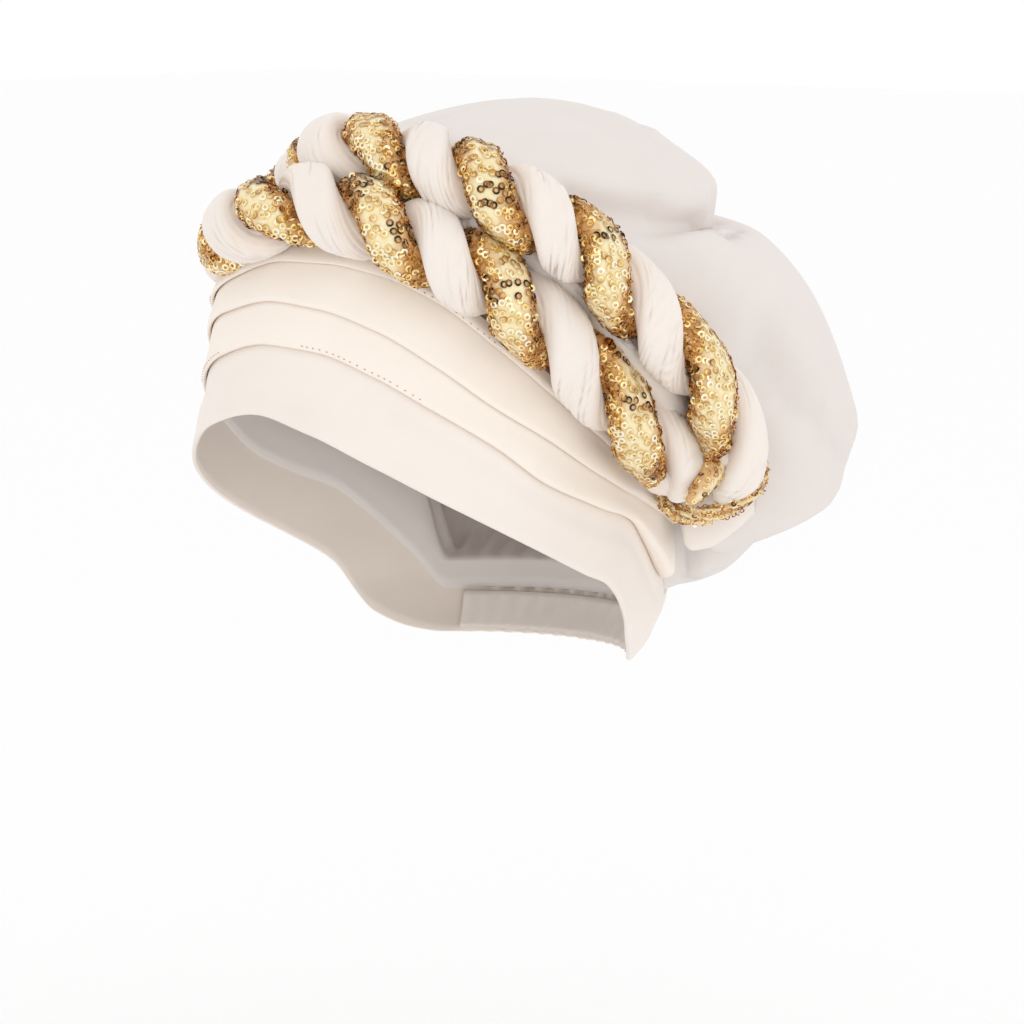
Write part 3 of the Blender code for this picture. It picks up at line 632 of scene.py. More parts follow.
def press_beds(points, rope):
    """Moves the crown's points out of the way of a rope that lies on it."""
    flat = points.reshape(-1, 3)
    for i in range(0, len(rope["run"]), 2):
        offset = flat - rope["centre"][i]
        near = np.nonzero(np.linalg.norm(offset, axis=1) < BED_SEARCH)[0]
        offset = offset[near]
        parts = np.stack([
            offset @ rope["outward"][i] / ROPE_FLATNESS,
            offset @ rope["across"][i],
            offset @ rope["ahead"][i],
        ], -1)
        away = np.linalg.norm(parts, axis=1)
        push = (rope["size"][i] * ROPE_RADIUS + BED_ROOM) / np.maximum(away, 1e-5)
        deep = push > 1
        flat[near[deep]] = rope["centre"][i] + offset[deep] * push[deep, None]
    return flat.reshape(points.shape)


# The tint column says how much painted shade is laid along each fold's valley.
FOLD_COLUMNS = ("depth", "half_width", "lip", "tint", "path")
FOLDS = (
    (0.0036, 0.0050, 0.0022, 0.35,
     ((80, 7.5), (88, 7.5), (95, 7.5), (104, 7.5), (116, 7.4), (127, 7.3), (132, 6.6))),
    (0.0030, 0.0022, 0.0014, 0.50, ((122, 6.1), (127, 5.9), (136, 6.1), (146, 6.2))),
    (0.0012, 0.0034, 0.0006, 0.15, ((158, 9.8), (155, 9.4), (138, 9.1), (124, 8.8))),
    (0.0030, 0.0070, 0.0014, 0.25, ((122, 5.3), (131, 4.3), (136, 3.9), (146, 3.4))),
    (0.0024, 0.0160, 0.0000, 0.28,
     ((84, 7.0), (94, 6.5), (105, 6.1), (116, 5.2), (124, 4.4), (130, 3.6))),
    (0.0016, 0.0050, 0.0008, 0.25, ((118, 3.0), (126, 2.5), (134, 2.3))),
    (0.0040, 0.0044, 0.0018, 0.30, ((150, 6.6), (160, 6.5), (172, 6.8), (185, 6.6))),
    (0.0034, 0.0060, 0.0016, 0.20, ((168, 5.4), (180, 5.2), (196, 5.6), (212, 5.3))),
    (0.0038, 0.0044, 0.0018, 0.30, ((196, 7.2), (208, 6.6), (222, 6.5), (234, 6.9))),
    (0.0036, 0.0046, 0.0020, 0.35, ((226, 7.5), (240, 7.4), (252, 7.5), (266, 7.5), (276, 7.4))),
    (0.0030, 0.0070, 0.0014, 0.20, ((214, 4.0), (224, 3.6), (232, 4.2), (240, 5.2))),
    (0.0018, 0.0060, 0.0008, 0.15, ((170, 9.4), (190, 8.9), (212, 9.1))),
    (0.0026, 0.0065, 0.0012, 0.20, ((150, 2.6), (160, 3.3), (170, 3.6))),
    (0.0026, 0.0065, 0.0012, 0.20, ((188, 3.4), (200, 3.0), (210, 2.4))),
    (0.0036, 0.0030, 0.0000, 0.90,
     ((124, 1.4), (128, 1.3), (133, 1.2), (139, 0.8), (142, 0.5), (147, 0.3))),
    (0.0036, 0.0030, 0.0000, 0.90,
     ((236, 1.4), (232, 1.3), (227, 1.2), (221, 0.8), (218, 0.5), (213, 0.3))),
    (-0.0130, 0.0080, 0.0000, 0.00,
     ((44, 4.2), (57, 4.3), (64, 4.4), (78, 4.5), (92, 4.6),
      (98, 4.2), (104, 3.8), (111, 3.4), (117, 3.0))),
)
FOLD_SAMPLES = 240
FOLD_FADE = 0.22
LIP_PLACE = 2.0
LIP_SPREAD = 1.3
CROWN_GATHER = 0.0017
CROWN_GATHER_WIDTH = 5.2
CROWN_GATHER_REACH = (140, 150)
CROWN_UNEVENNESS = 0.0011
CROWN_WAVE = {"degrees": 24, "rows": 1.6}


def along_path(table, count):
    """The columns of a table of points, read smoothly at a count of even stops along it."""
    stops = np.linspace(0, len(table) - 1, count)
    knots = np.arange(len(table), dtype=float)
    return [smooth_read(stops, knots, values, 1.0) for values in np.array(table, float).T]


def fold_cloth(points):
    """The crown's grid with its folds and gathers laid in, and the painted shade laid along its folds."""
    angle = np.arange(-180, 180, CROWN_STEP)[:, None]
    place = ((np.arange(points.shape[1]) - HIDDEN_ROWS) * CROWN_ROW)[None, :]
    along = np.roll(points, -1, 0) - np.roll(points, 1, 0)
    normal = unit(np.cross(along, np.gradient(points, axis=1)) + 1e-12)
    moved = points.copy()
    shade = np.zeros(points.shape[:2])
    for row in FOLDS:
        fold = dict(zip(FOLD_COLUMNS, row))
        angles, places = along_path(fold["path"], FOLD_SAMPLES)
        i = np.round((angles + 180) / CROWN_STEP).astype(int) % points.shape[0]
        j = np.round(places / CROWN_ROW).astype(int) + HIDDEN_ROWS
        line = points[i, j]
        away = np.full(points.shape[:2], 1.0)
        nearest = np.zeros(points.shape[:2], int)
        for k in range(FOLD_SAMPLES):
            gap = np.linalg.norm(points - line[k], axis=2)
            closer = gap < away
            away[closer] = gap[closer]
            nearest[closer] = k
        share = nearest / (FOLD_SAMPLES - 1)
        fade = ease(0, FOLD_FADE, share) * (1 - ease(1 - FOLD_FADE, 1, share))
        above = ease(0, 0.002, points[..., 2] - line[nearest][..., 2])
        wide = away / fold["half_width"]
        valley = np.exp(-wide**2)
        swell = above * np.exp(-((wide - LIP_PLACE) / LIP_SPREAD) ** 2)
        moved += normal * (fade * (fold["lip"] * swell - fold["depth"] * valley))[..., None]
        # Painted shade along the fold's valley.
        shade += fold["tint"] * fade * np.exp(-(wide / 0.8) ** 2)
    wave = np.sin(2 * math.pi * angle / CROWN_GATHER_WIDTH + 1.4 * np.sin(angle / 8))
    low_rows = ease(-0.2, 0.6, place) * (1 - ease(0.8, 3.2, place))
    gathered = ease(*CROWN_GATHER_REACH, np.abs(angle)) * low_rows
    loose = ease(1.0, 2.5, place) * (1 - ease(9.4, 10.4, place))
    soft = CROWN_UNEVENNESS * ripple(angle / CROWN_WAVE["degrees"], place / CROWN_WAVE["rows"], 4) * loose
    moved += normal * (CROWN_GATHER * gathered * wave)[..., None]
    moved += normal * soft[..., None]
    return moved, np.clip(shade, 0, 1)


# Painted shade: the crown takes a darker, cooler copy of the same cream, and a cool grey for the painted
# shade in its folds.
CROWN_CREAM_PAINTED_SHADE = (0.800, 0.742, 0.706)
CROWN_PAINTED_FOLD_SHADE = (0.715, 0.655, 0.622)
front_rope = rope_stations(FRONT_ROUTE)
rear_rope = rope_stations(REAR_ROUTE)
crown_points = np.stack([crown_meridian(angle) for angle in np.arange(-180, 180, CROWN_STEP)])
crown_points, crown_shade = fold_cloth(crown_points)
for rope in (front_rope, rear_rope):
    crown_points[:, HIDDEN_ROWS:] = press_beds(crown_points[:, HIDDEN_ROWS:], rope)
crown = cloth_mesh("crown_cloth", crown_points, crown_shade, round_hat=True, closed_section=False)
shaded_crown_cloth = cream_cloth("Cream crown cloth with painted shade", CROWN_CREAM_PAINTED_SHADE, CROWN_PAINTED_FOLD_SHADE)
dress(crown, shaded_crown_cloth, "cream_cloth", "crown_left", "crown_right")
wall = crown.modifiers.new("Wall", "SOLIDIFY")
wall.thickness = CLOTH
wall.offset = -1


# Cream strands. One padded tube of cream cloth in each rope, twisted tightly round the gold
# one. Where the gold strand bites into it, its cloth is pinched into fine creases that fan
# out and die away on the swell between two bites.

CREAM_SECTION = {"inner": -0.10, "outer": 1.08, "width": 0.82, "neck": 0.04}
CREAM_TURN = 0.5
CREAM_SWELL = 0.0003
SECTION_POINTS = 72
CREASE_DEPTH = 0.0016
CREASES_ROUND = 14
CREASE_WANDER = 0.30
CREASE_SPREAD = 0.13
PUCKER_DEPTH = 0.0009
PUCKER_PITCH = 0.0050


def section_corners():
    """The directions of a strand's section points, starting beside its outermost one."""
    return 2 * math.pi * (np.arange(SECTION_POINTS) + 0.5) / SECTION_POINTS


def turned_in(rope, start_turn):
    """How far a strand has turned in from the rope's outside: 0 on it, 0.5 underneath."""
    return np.abs((rope["turn"] + start_turn + 0.5) % 1 - 0.5)


def strand_points(rope, start_turn, section, swell):
    """The sections of one strand of a rope. swell(facing, corner, run) moves its surface out."""
    corner = section_corners()
    facing = turned_in(rope, start_turn)
    spin = 2 * math.pi * (rope["turn"] + start_turn)
    deep = rope["outward"] * ROPE_FLATNESS
    away = deep * np.cos(spin)[:, None] + rope["across"] * np.sin(spin)[:, None]
    beside = rope["across"] * np.cos(spin)[:, None] - deep * np.sin(spin)[:, None]
    lift = swell(facing[:, None], corner[None, :], rope["run"][:, None]) / ROPE_RADIUS
    middle, half = (section["inner"] + section["outer"]) / 2, (section["outer"] - section["inner"]) / 2
    depth = middle + (half + lift) * np.cos(corner)[None, :]
    width = (section["width"] + lift) * np.sin(corner)[None, :]
    width = width * (1 - section["neck"] * ease(0.12, 0.36, facing))[:, None]
    radius = (rope["size"] * ROPE_RADIUS)[:, None]
    along_away = (depth * radius)[..., None] * away[:, None, :]
    along_beside = (width * radius)[..., None] * beside[:, None, :]
    return rope["centre"][:, None, :] + along_away + along_beside


def creasing(facing, corner, run, seed):
    """Where the cloth of a cream strand creases, from 0 to 1 in the bottom of a crease."""
    wander = corner + CREASE_WANDER * ripple(run / 0.02, corner, seed)
    ridge = np.abs(np.sin(CREASES_ROUND * wander / 2))
    reach = 0.07 + 0.09 * ripple(run / 0.05, corner * 2.6, seed + 2)
    bite = ease(reach, reach + CREASE_SPREAD, facing)
    uneven = np.clip(0.55 + 0.6 * ripple(run / 0.05, corner * 3.4, seed + 5), 0.1, 1.1)
    return uneven * bite * (1 - ridge) ** 3.5


def puckering(corner, run, seed):
    """Where the cloth of a cream strand wrinkles across the strand, beside the gold one."""
    side = np.sin(corner)
    wave = math.pi * run / PUCKER_PITCH + 0.9 * side + 2.4 * ripple(run / 0.022, side, seed)
    reach = ease(0.15, 0.75, side * np.sign(ripple(run / 0.03, 0.0, seed + 4)) + 0.25)
    uneven = np.clip(0.5 + 0.8 * ripple(run / 0.016, side * 0.7, seed + 9), 0, 1)
    return uneven * reach * (1 - np.abs(np.sin(wave))) ** 3 * ease(-0.2, 0.3, np.cos(corner))


def pinched(seed):
    """The swell of a padded cream strand whose cloth creases where the gold strand bites."""
    def swell(facing, corner, run):
        creases = CREASE_DEPTH * creasing(facing, corner, run, seed)
        puckers = PUCKER_DEPTH * puckering(corner, run, seed)
        return CREAM_SWELL * np.cos(2 * math.pi * facing) - creases - puckers
    return swell


def strand_shade(rope, seed):
    """Painted shade on a cream strand's cloth: in its creases and puckers, between its neighbours and on
    its underside.
    """
    corner, run = section_corners()[None, :], rope["run"][:, None]
    facing = turned_in(rope, CREAM_TURN)[:, None]
    creases = creasing(facing, corner, run, seed)
    puckers = puckering(corner, run, seed)
    bitten = ease(0.62, 0.98, np.abs(np.sin(corner))) * ease(0.10, 0.30, facing)
    under = ease(0.1, -0.7, np.cos(corner))
    return np.clip(0.95 * creases + 0.8 * puckers + 0.30 * bitten + 0.4 * under, 0, 1)


STRAND_CREAM = (0.885, 0.812, 0.750)
STRAND_SOFTNESS = 0.20
strand_cloth = cream_cloth("Cream padded strand cloth", STRAND_CREAM, CREAM_PAINTED_FOLD_SHADE, STRAND_SOFTNESS)
ROPE_COLUMNS = ("name", "rope", "gold_node", "cream_node", "seed")
ROPES = (
    ("front", front_rope, "front_braid_gold", "front_braid_cream", 3),
    ("rear", rear_rope, "rear_braid_gold", "rear_braid_cream", 8),
)
for row in ROPES:
    rope = dict(zip(ROPE_COLUMNS, row))
    points = strand_points(rope["rope"], CREAM_TURN, CREAM_SECTION, pinched(rope["seed"]))
    strand = cloth_mesh(rope["name"] + "_cream_strand", points, strand_shade(rope["rope"], rope["seed"]))
    dress(strand, strand_cloth, "cream_cloth", rope["cream_node"])


# Gold strands. The other padded tube in each rope is of pale champagne knit, which is covered
# with flat ring sequins that are sewn on singly, lie at all angles and overlap.

GOLD_SECTION = {"inner": -0.06, "outer": 1.05, "width": 0.79, "neck": 0.0}
GOLD_SINK = 0.0004
GOLD_LUMPS = 0.0003
GOLD_LUMP_SIZE = 0.010
SEQUIN_OUTER = 0.00162
SEQUIN_HOLE = 0.00075
SEQUIN_POINTS = 8
SEQUIN_CUP = 0.00012
SEQUIN_BACK = 0.00016
SEQUIN_SPACING = 0.0039
SEQUIN_LIFT = 0.0004
# Painted shade and light on each ring: darker at its outer edge and back, lighter at its inner edge; then
# the size of a painted glint across each ring.
SEQUIN_SHADES = (-0.26, 0.12, -0.45)
SEQUIN_GLINT = 0.16
NEAR_BLACK = 0.1
DARKEST_GOLD = 0.12
OUTSIDE_REACH = 0.40
BESIDE_REACH = (0.20, 0.42)
BESIDE_SPACING = 0.95 * SEQUIN_SPACING
# Painted reflections: sequins in some groups are painted much darker, in others much brighter, as if they
# mirrored a dark or a bright surround.
GROUP_SIZE = 0.012
DARK_REFLECTION_GROUP = {"over": 0.52, "darker": 0.66}
BRIGHT_REFLECTION_GROUP = {"under": -0.75, "brighter": 0.36}


def champagne_knit(name, deep, shade, light):
    """Shiny pale gold knit with small ladders of thread, mottled at random between a shade and a light
    colour, with painted amber shade where its fold shade attribute says it lies deep.
    """
    knit = bpy.data.materials.new(name)
    knit.use_nodes = True
    nodes, links = knit.node_tree.nodes, knit.node_tree.links
    shader = nodes["Principled BSDF"]
    shader.inputs["Roughness"].default_value = 0.38
    shader.inputs["Sheen Weight"].default_value = 0.15
    face = nodes.new("ShaderNodeGroup")
    face.node_tree = KNIT_FACE
    face.inputs["Stitch Size"].default_value = 0.0013
    face.inputs["Mottle Size"].default_value = 0.004
    tint = nodes.new("ShaderNodeMix")
    tint.data_type = "RGBA"
    tint.inputs["A"].default_value = (*shade, 1)
    tint.inputs["B"].default_value = (*light, 1)
    links.new(face.outputs["Mottle"], tint.inputs["Factor"])
    depth = nodes.new("ShaderNodeAttribute")
    depth.attribute_name = "painted_fold_shade"
    # Painted shade: the colour goes toward the deep amber where the fold shade attribute is high.
    sunk_shade = nodes.new("ShaderNodeMix")
    sunk_shade.data_type = "RGBA"
    sunk_shade.inputs["B"].default_value = (*deep, 1)
    links.new(depth.outputs["Fac"], sunk_shade.inputs["Factor"])
    links.new(tint.outputs["Result"], sunk_shade.inputs["A"])
    links.new(sunk_shade.outputs["Result"], shader.inputs["Base Color"])
    bump = nodes.new("ShaderNodeBump")
    bump.inputs["Strength"].default_value = 0.5
    bump.inputs["Distance"].default_value = 0.0009
    links.new(face.outputs["Height"], bump.inputs["Height"])
    links.new(bump.outputs["Normal"], shader.inputs["Normal"])
    return knit


def sequin_gold():
    """Mirror-like gold, coloured from its tone attribute: a random tone for each sequin, plus painted
    reflection, glint and shade.
    """
    gold = bpy.data.materials.new("Sequin gold")
    gold.use_nodes = True
    nodes, links = gold.node_tree.nodes, gold.node_tree.links
    shader = nodes["Principled BSDF"]
    shader.inputs["Metallic"].default_value = 1.0
    shader.inputs["Roughness"].default_value = 0.18
    tone_and_reflection = nodes.new("ShaderNodeAttribute")
    tone_and_reflection.attribute_name = "tone_and_reflection"
    ramp = nodes.new("ShaderNodeValToRGB")
    stops = (
        (0.0, (0.05, 0.026, 0.010)),
        (0.12, (0.36, 0.15, 0.045)),
        (0.26, (0.60, 0.29, 0.07)),
        (0.45, (0.87, 0.57, 0.18)),
        (0.70, (0.99, 0.80, 0.39)),
        (0.88, (1.0, 0.91, 0.61)),
        (1.0, (1.0, 0.98, 0.88)),
    )
    first, last = ramp.color_ramp.elements
    first.color, last.color = (*stops[0][1], 1), (*stops[-1][1], 1)
    for position, colour in stops[1:-1]:
        ramp.color_ramp.elements.new(position).color = (*colour, 1)
    links.new(tone_and_reflection.outputs["Fac"], ramp.inputs["Fac"])
    links.new(ramp.outputs["Color"], shader.inputs["Base Color"])
    return gold


def sew_sequins(name, centres, normals, tones, size, draw):
    """One object of many ring sequins, each at its centre, facing along its normal."""
    count = len(centres)
    normals = unit(normals)
    side = unit(np.cross(normals, unit(draw.normal(size=(count, 3)))))
    other = np.cross(normals, side)
    corner = 2 * math.pi * np.arange(SEQUIN_POINTS) / SEQUIN_POINTS
    ring = (np.cos(corner)[None, :, None] * side[:, None, :]
            + np.sin(corner)[None, :, None] * other[:, None, :])
    up = normals[:, None, :]
    outer = centres[:, None, :] + ring * SEQUIN_OUTER * size
    inner = centres[:, None, :] + ring * SEQUIN_HOLE * size + up * SEQUIN_CUP
    back = centres[:, None, :] + ring * (SEQUIN_OUTER + SEQUIN_HOLE) / 2 * size - up * SEQUIN_BACK
    points = np.stack([outer, inner, back], 2)
    k = np.arange(SEQUIN_POINTS)
    after = (k + 1) % SEQUIN_POINTS
    faces = []
    for near, far in ((0, 1), (1, 2), (2, 0)):
        faces.append(np.stack([3 * k + near, 3 * after + near, 3 * after + far, 3 * k + far], -1))
    one = np.vstack(faces)
    each = 3 * SEQUIN_POINTS
    faces = (one[None] + each * np.arange(count)[:, None, None]).reshape(-1, 4)
    mesh = bpy.data.meshes.new(name)
    mesh.from_pydata(points.reshape(-1, 3).tolist(), [], faces.tolist())
    tone_and_reflection = mesh.attributes.new("tone_and_reflection", "FLOAT", "POINT")
    # Painted glint and shade: each ring is lighter on one side and darker on the other, darker at its
    # outer edge and back, lighter at its inner edge.
    glint = SEQUIN_GLINT * np.cos(corner[None, :] + draw.uniform(0, 2 * math.pi, count)[:, None])
    shaded = tones[:, None] + np.tile(SEQUIN_SHADES, SEQUIN_POINTS)[None, :] + np.repeat(glint, 3, axis=1)
    darkest = np.where(tones < NEAR_BLACK, 0.0, DARKEST_GOLD)[:, None]
    tone_and_reflection.data.foreach_set("value", np.clip(shaded, darkest, 1).ravel())
    piece = bpy.data.objects.new(name, mesh)
    bpy.context.scene.collection.objects.link(piece)
    return piece


def scatter_on(points, reach_shown, spacing, draw):
    """Places and normals for sequins over a strand, in loose rows; reach_shown picks the corners."""
    sections, places = points.shape[:2]
    around = np.linalg.norm(np.diff(points, axis=1, append=points[:, :1]), axis=2).sum(1)
    run = np.concatenate([[0], np.cumsum(np.linalg.norm(np.diff(points.mean(1), axis=0), axis=1))])
    centres, normals, corners = [], [], []
    rows = max(int(run[-1] / (spacing * 0.80)), 2)
    for row in range(rows):
        station = np.interp(run[-1] * (row + 0.5) / rows, run, range(sections))
        per_row = max(int(around[int(station)] / spacing), 4)
        spots = (np.arange(per_row) + 0.5 * (row % 2) + draw.uniform(-0.32, 0.32, per_row)) / per_row
        for spot in spots % 1:
            if not reach_shown(spot):
                continue
            i = min(max(station + draw.uniform(-0.8, 0.8), 1), sections - 2.01)
            j = spot * places
            a, b = int(i), int(j) % places
            u, v = i - a, j - int(j)
            c = (b + 1) % places
            near = points[a, b] * (1 - v) + points[a, c] * v
            far = points[a + 1, b] * (1 - v) + points[a + 1, c] * v
            centres.append(near * (1 - u) + far * u)
            normals.append(np.cross(far - near, points[a, c] - points[a, b]))
            corners.append(spot)
    centres, normals = np.array(centres), unit(np.array(normals))
    middle = points.mean(1)
    nearest = np.argmin(np.linalg.norm(centres[:, None] - middle[None, ::4], axis=2), axis=1) * 4
    outward = centres - middle[nearest]
    normals *= np.sign(np.sum(normals * outward, -1, keepdims=True))
    return centres, normals, np.array(corners)


def gold_swell(seed):
    """The swell of a padded knit strand, soft and slightly lumpy."""
    def swell(facing, corner, run):
        return GOLD_LUMPS * ripple(run / GOLD_LUMP_SIZE, corner * 1.5, seed) - GOLD_SINK
    return swell


def gold_shade(rope, seed):
    """Painted shade on the knit: on its sides toward the cream strand beside it, where it dips under that
    strand, and on its underside.
    """
    corner = section_corners()
    facing = turned_in(rope, 0.0)
    wander = 0.10 * ripple(rope["run"][:, None] / 0.006, corner[None, :] * 3, seed)
    beside = ease(0.60, 1.0, np.abs(np.sin(corner))[None, :] + wander)
    ends = ease(0.22, 0.34, facing[:, None] + 0.4 * wander)
    under = ease(0.1, -0.4, np.cos(corner))[None, :]
    return np.clip(0.60 * beside + 0.35 * ends + under, 0, 1)


def rope_sequins(points, seed, draw):
    """Centres, facings and tones of the sequins over one gold strand's outside and its sides, with
    painted reflection and shade in the tones.
    """
    centres, normals, corners = scatter_on(
        points, lambda spot: min(spot, 1 - spot) < OUTSIDE_REACH, SEQUIN_SPACING, draw)
    sides = np.minimum(corners, 1 - corners)
    tilt = np.abs(draw.normal(0.0, 0.13, len(centres)) * (1 + 6 * np.clip(sides - 0.16, 0, 0.3)))
    facing = unit(normals + tilt[:, None] * unit(draw.normal(size=centres.shape)))
    centres = centres + normals * (SEQUIN_LIFT + tilt[:, None] * 0.001)
    group = ripple(centres[:, 0] / GROUP_SIZE, centres[:, 2] / GROUP_SIZE, seed)
    # Painted shade and reflection: sequins are darker toward the strand's sides and where they face up,
    # and much darker or brighter in groups.
    tones = draw.normal(0.75, 0.20, len(centres)) - 1.9 * np.clip(sides - 0.15, 0, 1)
    tones -= 0.24 * np.clip(normals[:, 2], -0.3, 1)
    tones = np.where(group > DARK_REFLECTION_GROUP["over"], tones - DARK_REFLECTION_GROUP["darker"], tones)
    tones = np.where(group < BRIGHT_REFLECTION_GROUP["under"], tones + BRIGHT_REFLECTION_GROUP["brighter"], tones)
    inner, outer = BESIDE_REACH
    beside, away, _ = scatter_on(
        points, lambda spot: inner < min(spot, 1 - spot) < outer, BESIDE_SPACING, draw)
    centres = np.vstack([centres, beside + away * SEQUIN_LIFT])
    facing = np.vstack([facing, unit(away + 0.55 * draw.normal(size=beside.shape))])
    # The sequins beside the strand are painted darker, as painted shade.
    tones = np.concatenate([tones, draw.normal(0.52, 0.20, len(beside))])
    return centres, facing, np.clip(tones, 0, 1)


# The amber is the painted shade colour for knit that lies deep.
AMBER_PAINTED_SHADE = (0.72, 0.38, 0.13)
KNIT_SHADE = (0.92, 0.70, 0.34)
KNIT_LIGHT = (1.0, 0.94, 0.66)
knit_cloth = champagne_knit("Champagne knit", AMBER_PAINTED_SHADE, KNIT_SHADE, KNIT_LIGHT)
sequin_finish = sequin_gold()
for row in ROPES:
    rope = dict(zip(ROPE_COLUMNS, row))
    draw = np.random.default_rng(rope["seed"])
    points = strand_points(rope["rope"], 0.0, GOLD_SECTION, gold_swell(rope["seed"]))
    sunk_shade = gold_shade(rope["rope"], rope["seed"])
    strand = cloth_mesh(rope["name"] + "_gold_strand", points, sunk_shade)
    dress(strand, knit_cloth, "gold_sequin_cloth", rope["gold_node"])
    centres, facing, tones = rope_sequins(points, rope["seed"], draw)
    sequins = sew_sequins(rope["name"] + "_sequins", centres, facing, tones, 1.0, draw)
    dress(sequins, sequin_finish, "gold_sequin_cloth")


# Ties and tucks. On each side a wrung band of the sequin cloth is laid under the ends of both
# ropes and drawn up beside them, and their strands' ends lie over it in plump folds, one of
# them between the ropes. The padded end of the cream cloth is pushed in behind the pleats.

TIE_COLUMNS = ("name", "node", "side", "angle", "reach")
TIES = (
    ("left_gold_tie", "left_tie", 1, 123.4, 0.1237),
    ("right_gold_tie", "right_tie", -1, 123.0, 0.1250),
)
TIE_HEIGHT = -0.036
TIE_HALF_LENGTH = 0.0205
TIE_DROP = 0.016
TIE_THICKNESS = 0.0034
TIE_RISE = 0.25
TIE_HANG = (0.75, -0.66)
TIE_START = -15
TIE_SWEEP = 210
TIE_STATIONS = 90
TIE_SECTION = 24
WRUNG_RIDGES = 5
WRUNG_TURNS = 9
WRUNG_HEIGHT = 0.22
UP = np.array((0.0, 0.0, 1.0))
TUCK_COLUMNS = ("angle", "reach", "top", "bottom")
TUCK = (
    (129.3, 0.1100, -0.0440, -0.0560),
    (129.4, 0.1115, -0.0420, -0.0630),
    (129.8, 0.1150, -0.0410, -0.0658),
    (130.6, 0.1220, -0.0400, -0.0646),
    (131.8, 0.1320, -0.0400, -0.0585),
    (132.8, 0.1410, -0.0420, -0.0505),
)
TUCK_STATIONS = 40
TUCK_SECTION = 32
TUCK_ROUNDING = (0.04, 0.90)
TUCK_FRONT = 0.0055
TUCK_BACK = 0.0120
KNOT_STATIONS = 48
KNOT_SECTION = 40
KNOT_CREASES = 5
KNOT_CREASE = 0.07
KNOT_COLUMNS = ("name", "cloth", "half_width", "half_thickness", "path")
KNOT = (
    ("lower_fold", "cream", 0.0062, 0.0080,
     ((107.5, 0.1030, -0.0235), (113.5, 0.1060, -0.0320), (120.5, 0.1120, -0.0355))),
    ("inner_lobe", "cream", 0.0052, 0.0062,
     ((113.8, 0.1300, -0.0180), (117.0, 0.1320, -0.0310), (118.7, 0.1280, -0.0430))),
    ("between_fold", "cream", 0.0100, 0.0085,
     ((88.0, 0.0960, 0.0440), (97.4, 0.1020, 0.0244), (103.0, 0.1060, 0.0123),
      (110.5, 0.1110, -0.0005), (117.0, 0.1150, -0.0140))),
    ("gold_neck", "gold", 0.0046, 0.0050,
     ((121.5, 0.1300, -0.0110), (114.0, 0.1275, -0.0265), (108.5, 0.1210, -0.0400))),
)


def tie_turns():
    """Where each of a tie's sections lies on its sweep, in radians."""
    return np.radians(np.linspace(TIE_START, TIE_START + TIE_SWEEP, TIE_STATIONS))[:, None]


def wrung_ridges():
    """How high each point of a tie lies on the twisted ridges of its cloth, from -1 to 1."""
    corner = 2 * math.pi * np.arange(TIE_SECTION) / TIE_SECTION
    return np.sin(WRUNG_RIDGES * corner[None, :] + WRUNG_TURNS * tie_turns())


def tie_points(side, angle, reach):
    """The closed sections of a tie, wrung so that its cloth lies in twisted ridges."""
    centre = at(side * angle, reach, TIE_HEIGHT)
    outward, forward = at(side * angle, 1, 0), at(side * (angle - 90), 1, 0)
    long_way = unit(outward + TIE_RISE * UP)
    drop_way = unit(TIE_HANG[0] * forward + TIE_HANG[1] * UP)
    normal = unit(np.cross(long_way, drop_way))
    turn = tie_turns()
    spoke = TIE_HALF_LENGTH * np.cos(turn) * long_way + TIE_DROP * np.sin(turn) * drop_way
    corner = 2 * math.pi * np.arange(TIE_SECTION) / TIE_SECTION
    ridge = 1 + WRUNG_HEIGHT * wrung_ridges()
    push = 0.8 * TIE_THICKNESS * (ridge * np.cos(corner))[..., None] * unit(spoke)[:, None, :]
    lift = TIE_THICKNESS * (ridge * np.sin(corner))[..., None] * normal
    return centre + spoke[:, None, :] + push + lift


def tuck_points(side):
    """The closed sections of the padded cloth end."""
    tuck = dict(zip(TUCK_COLUMNS, along_path(TUCK, TUCK_STATIONS)))
    angle, reach = tuck["angle"], tuck["reach"]
    middle, half = (tuck["top"] + tuck["bottom"]) / 2, (tuck["top"] - tuck["bottom"]) / 2
    corner = 2 * math.pi * np.arange(TUCK_SECTION) / TUCK_SECTION
    height = middle[:, None] + half[:, None] * np.cos(corner)
    rounding = np.sin(math.pi * np.linspace(*TUCK_ROUNDING, TUCK_STATIONS)) ** 0.5
    both = np.where(np.sin(corner) > 0, TUCK_FRONT, TUCK_BACK) * np.sin(corner)
    thick = (rounding[:, None] * both[None, :])[..., None]
    forward = at(side * (angle - 90), 1.0, 0.0)[:, None, :]
    return at(side * angle[:, None], reach[:, None], height) + thick * forward


def knot_points(side, fold):
    """The closed sections of one plump fold of a strand's end, along a short curved path."""
    angle, reach, height = along_path(fold["path"], KNOT_STATIONS)
    centre = at(side * angle, reach, height)
    ahead = unit(np.gradient(centre, axis=0))
    outward = at(side * angle, 1.0, 0.0)
    outward = unit(outward - ahead * np.sum(outward * ahead, -1, keepdims=True))
    across = np.cross(ahead, outward)
    share = np.linspace(0, 1, KNOT_STATIONS)
    size = np.maximum(np.sin(math.pi * (0.04 + 0.92 * share)), 0.12) ** 0.55
    corner = 2 * math.pi * np.arange(KNOT_SECTION) / KNOT_SECTION
    ridge = np.abs(np.sin(KNOT_CREASES * corner[None, :] + 1.5 * share[:, None]))
    radius = size[:, None] * (1 - KNOT_CREASE * (1 - ridge) ** 3)
    return (centre[:, None, :]
            + (fold["half_thickness"] * radius * np.cos(corner))[..., None] * outward[:, None, :]
            + (fold["half_width"] * radius * np.sin(corner))[..., None] * across[:, None, :])


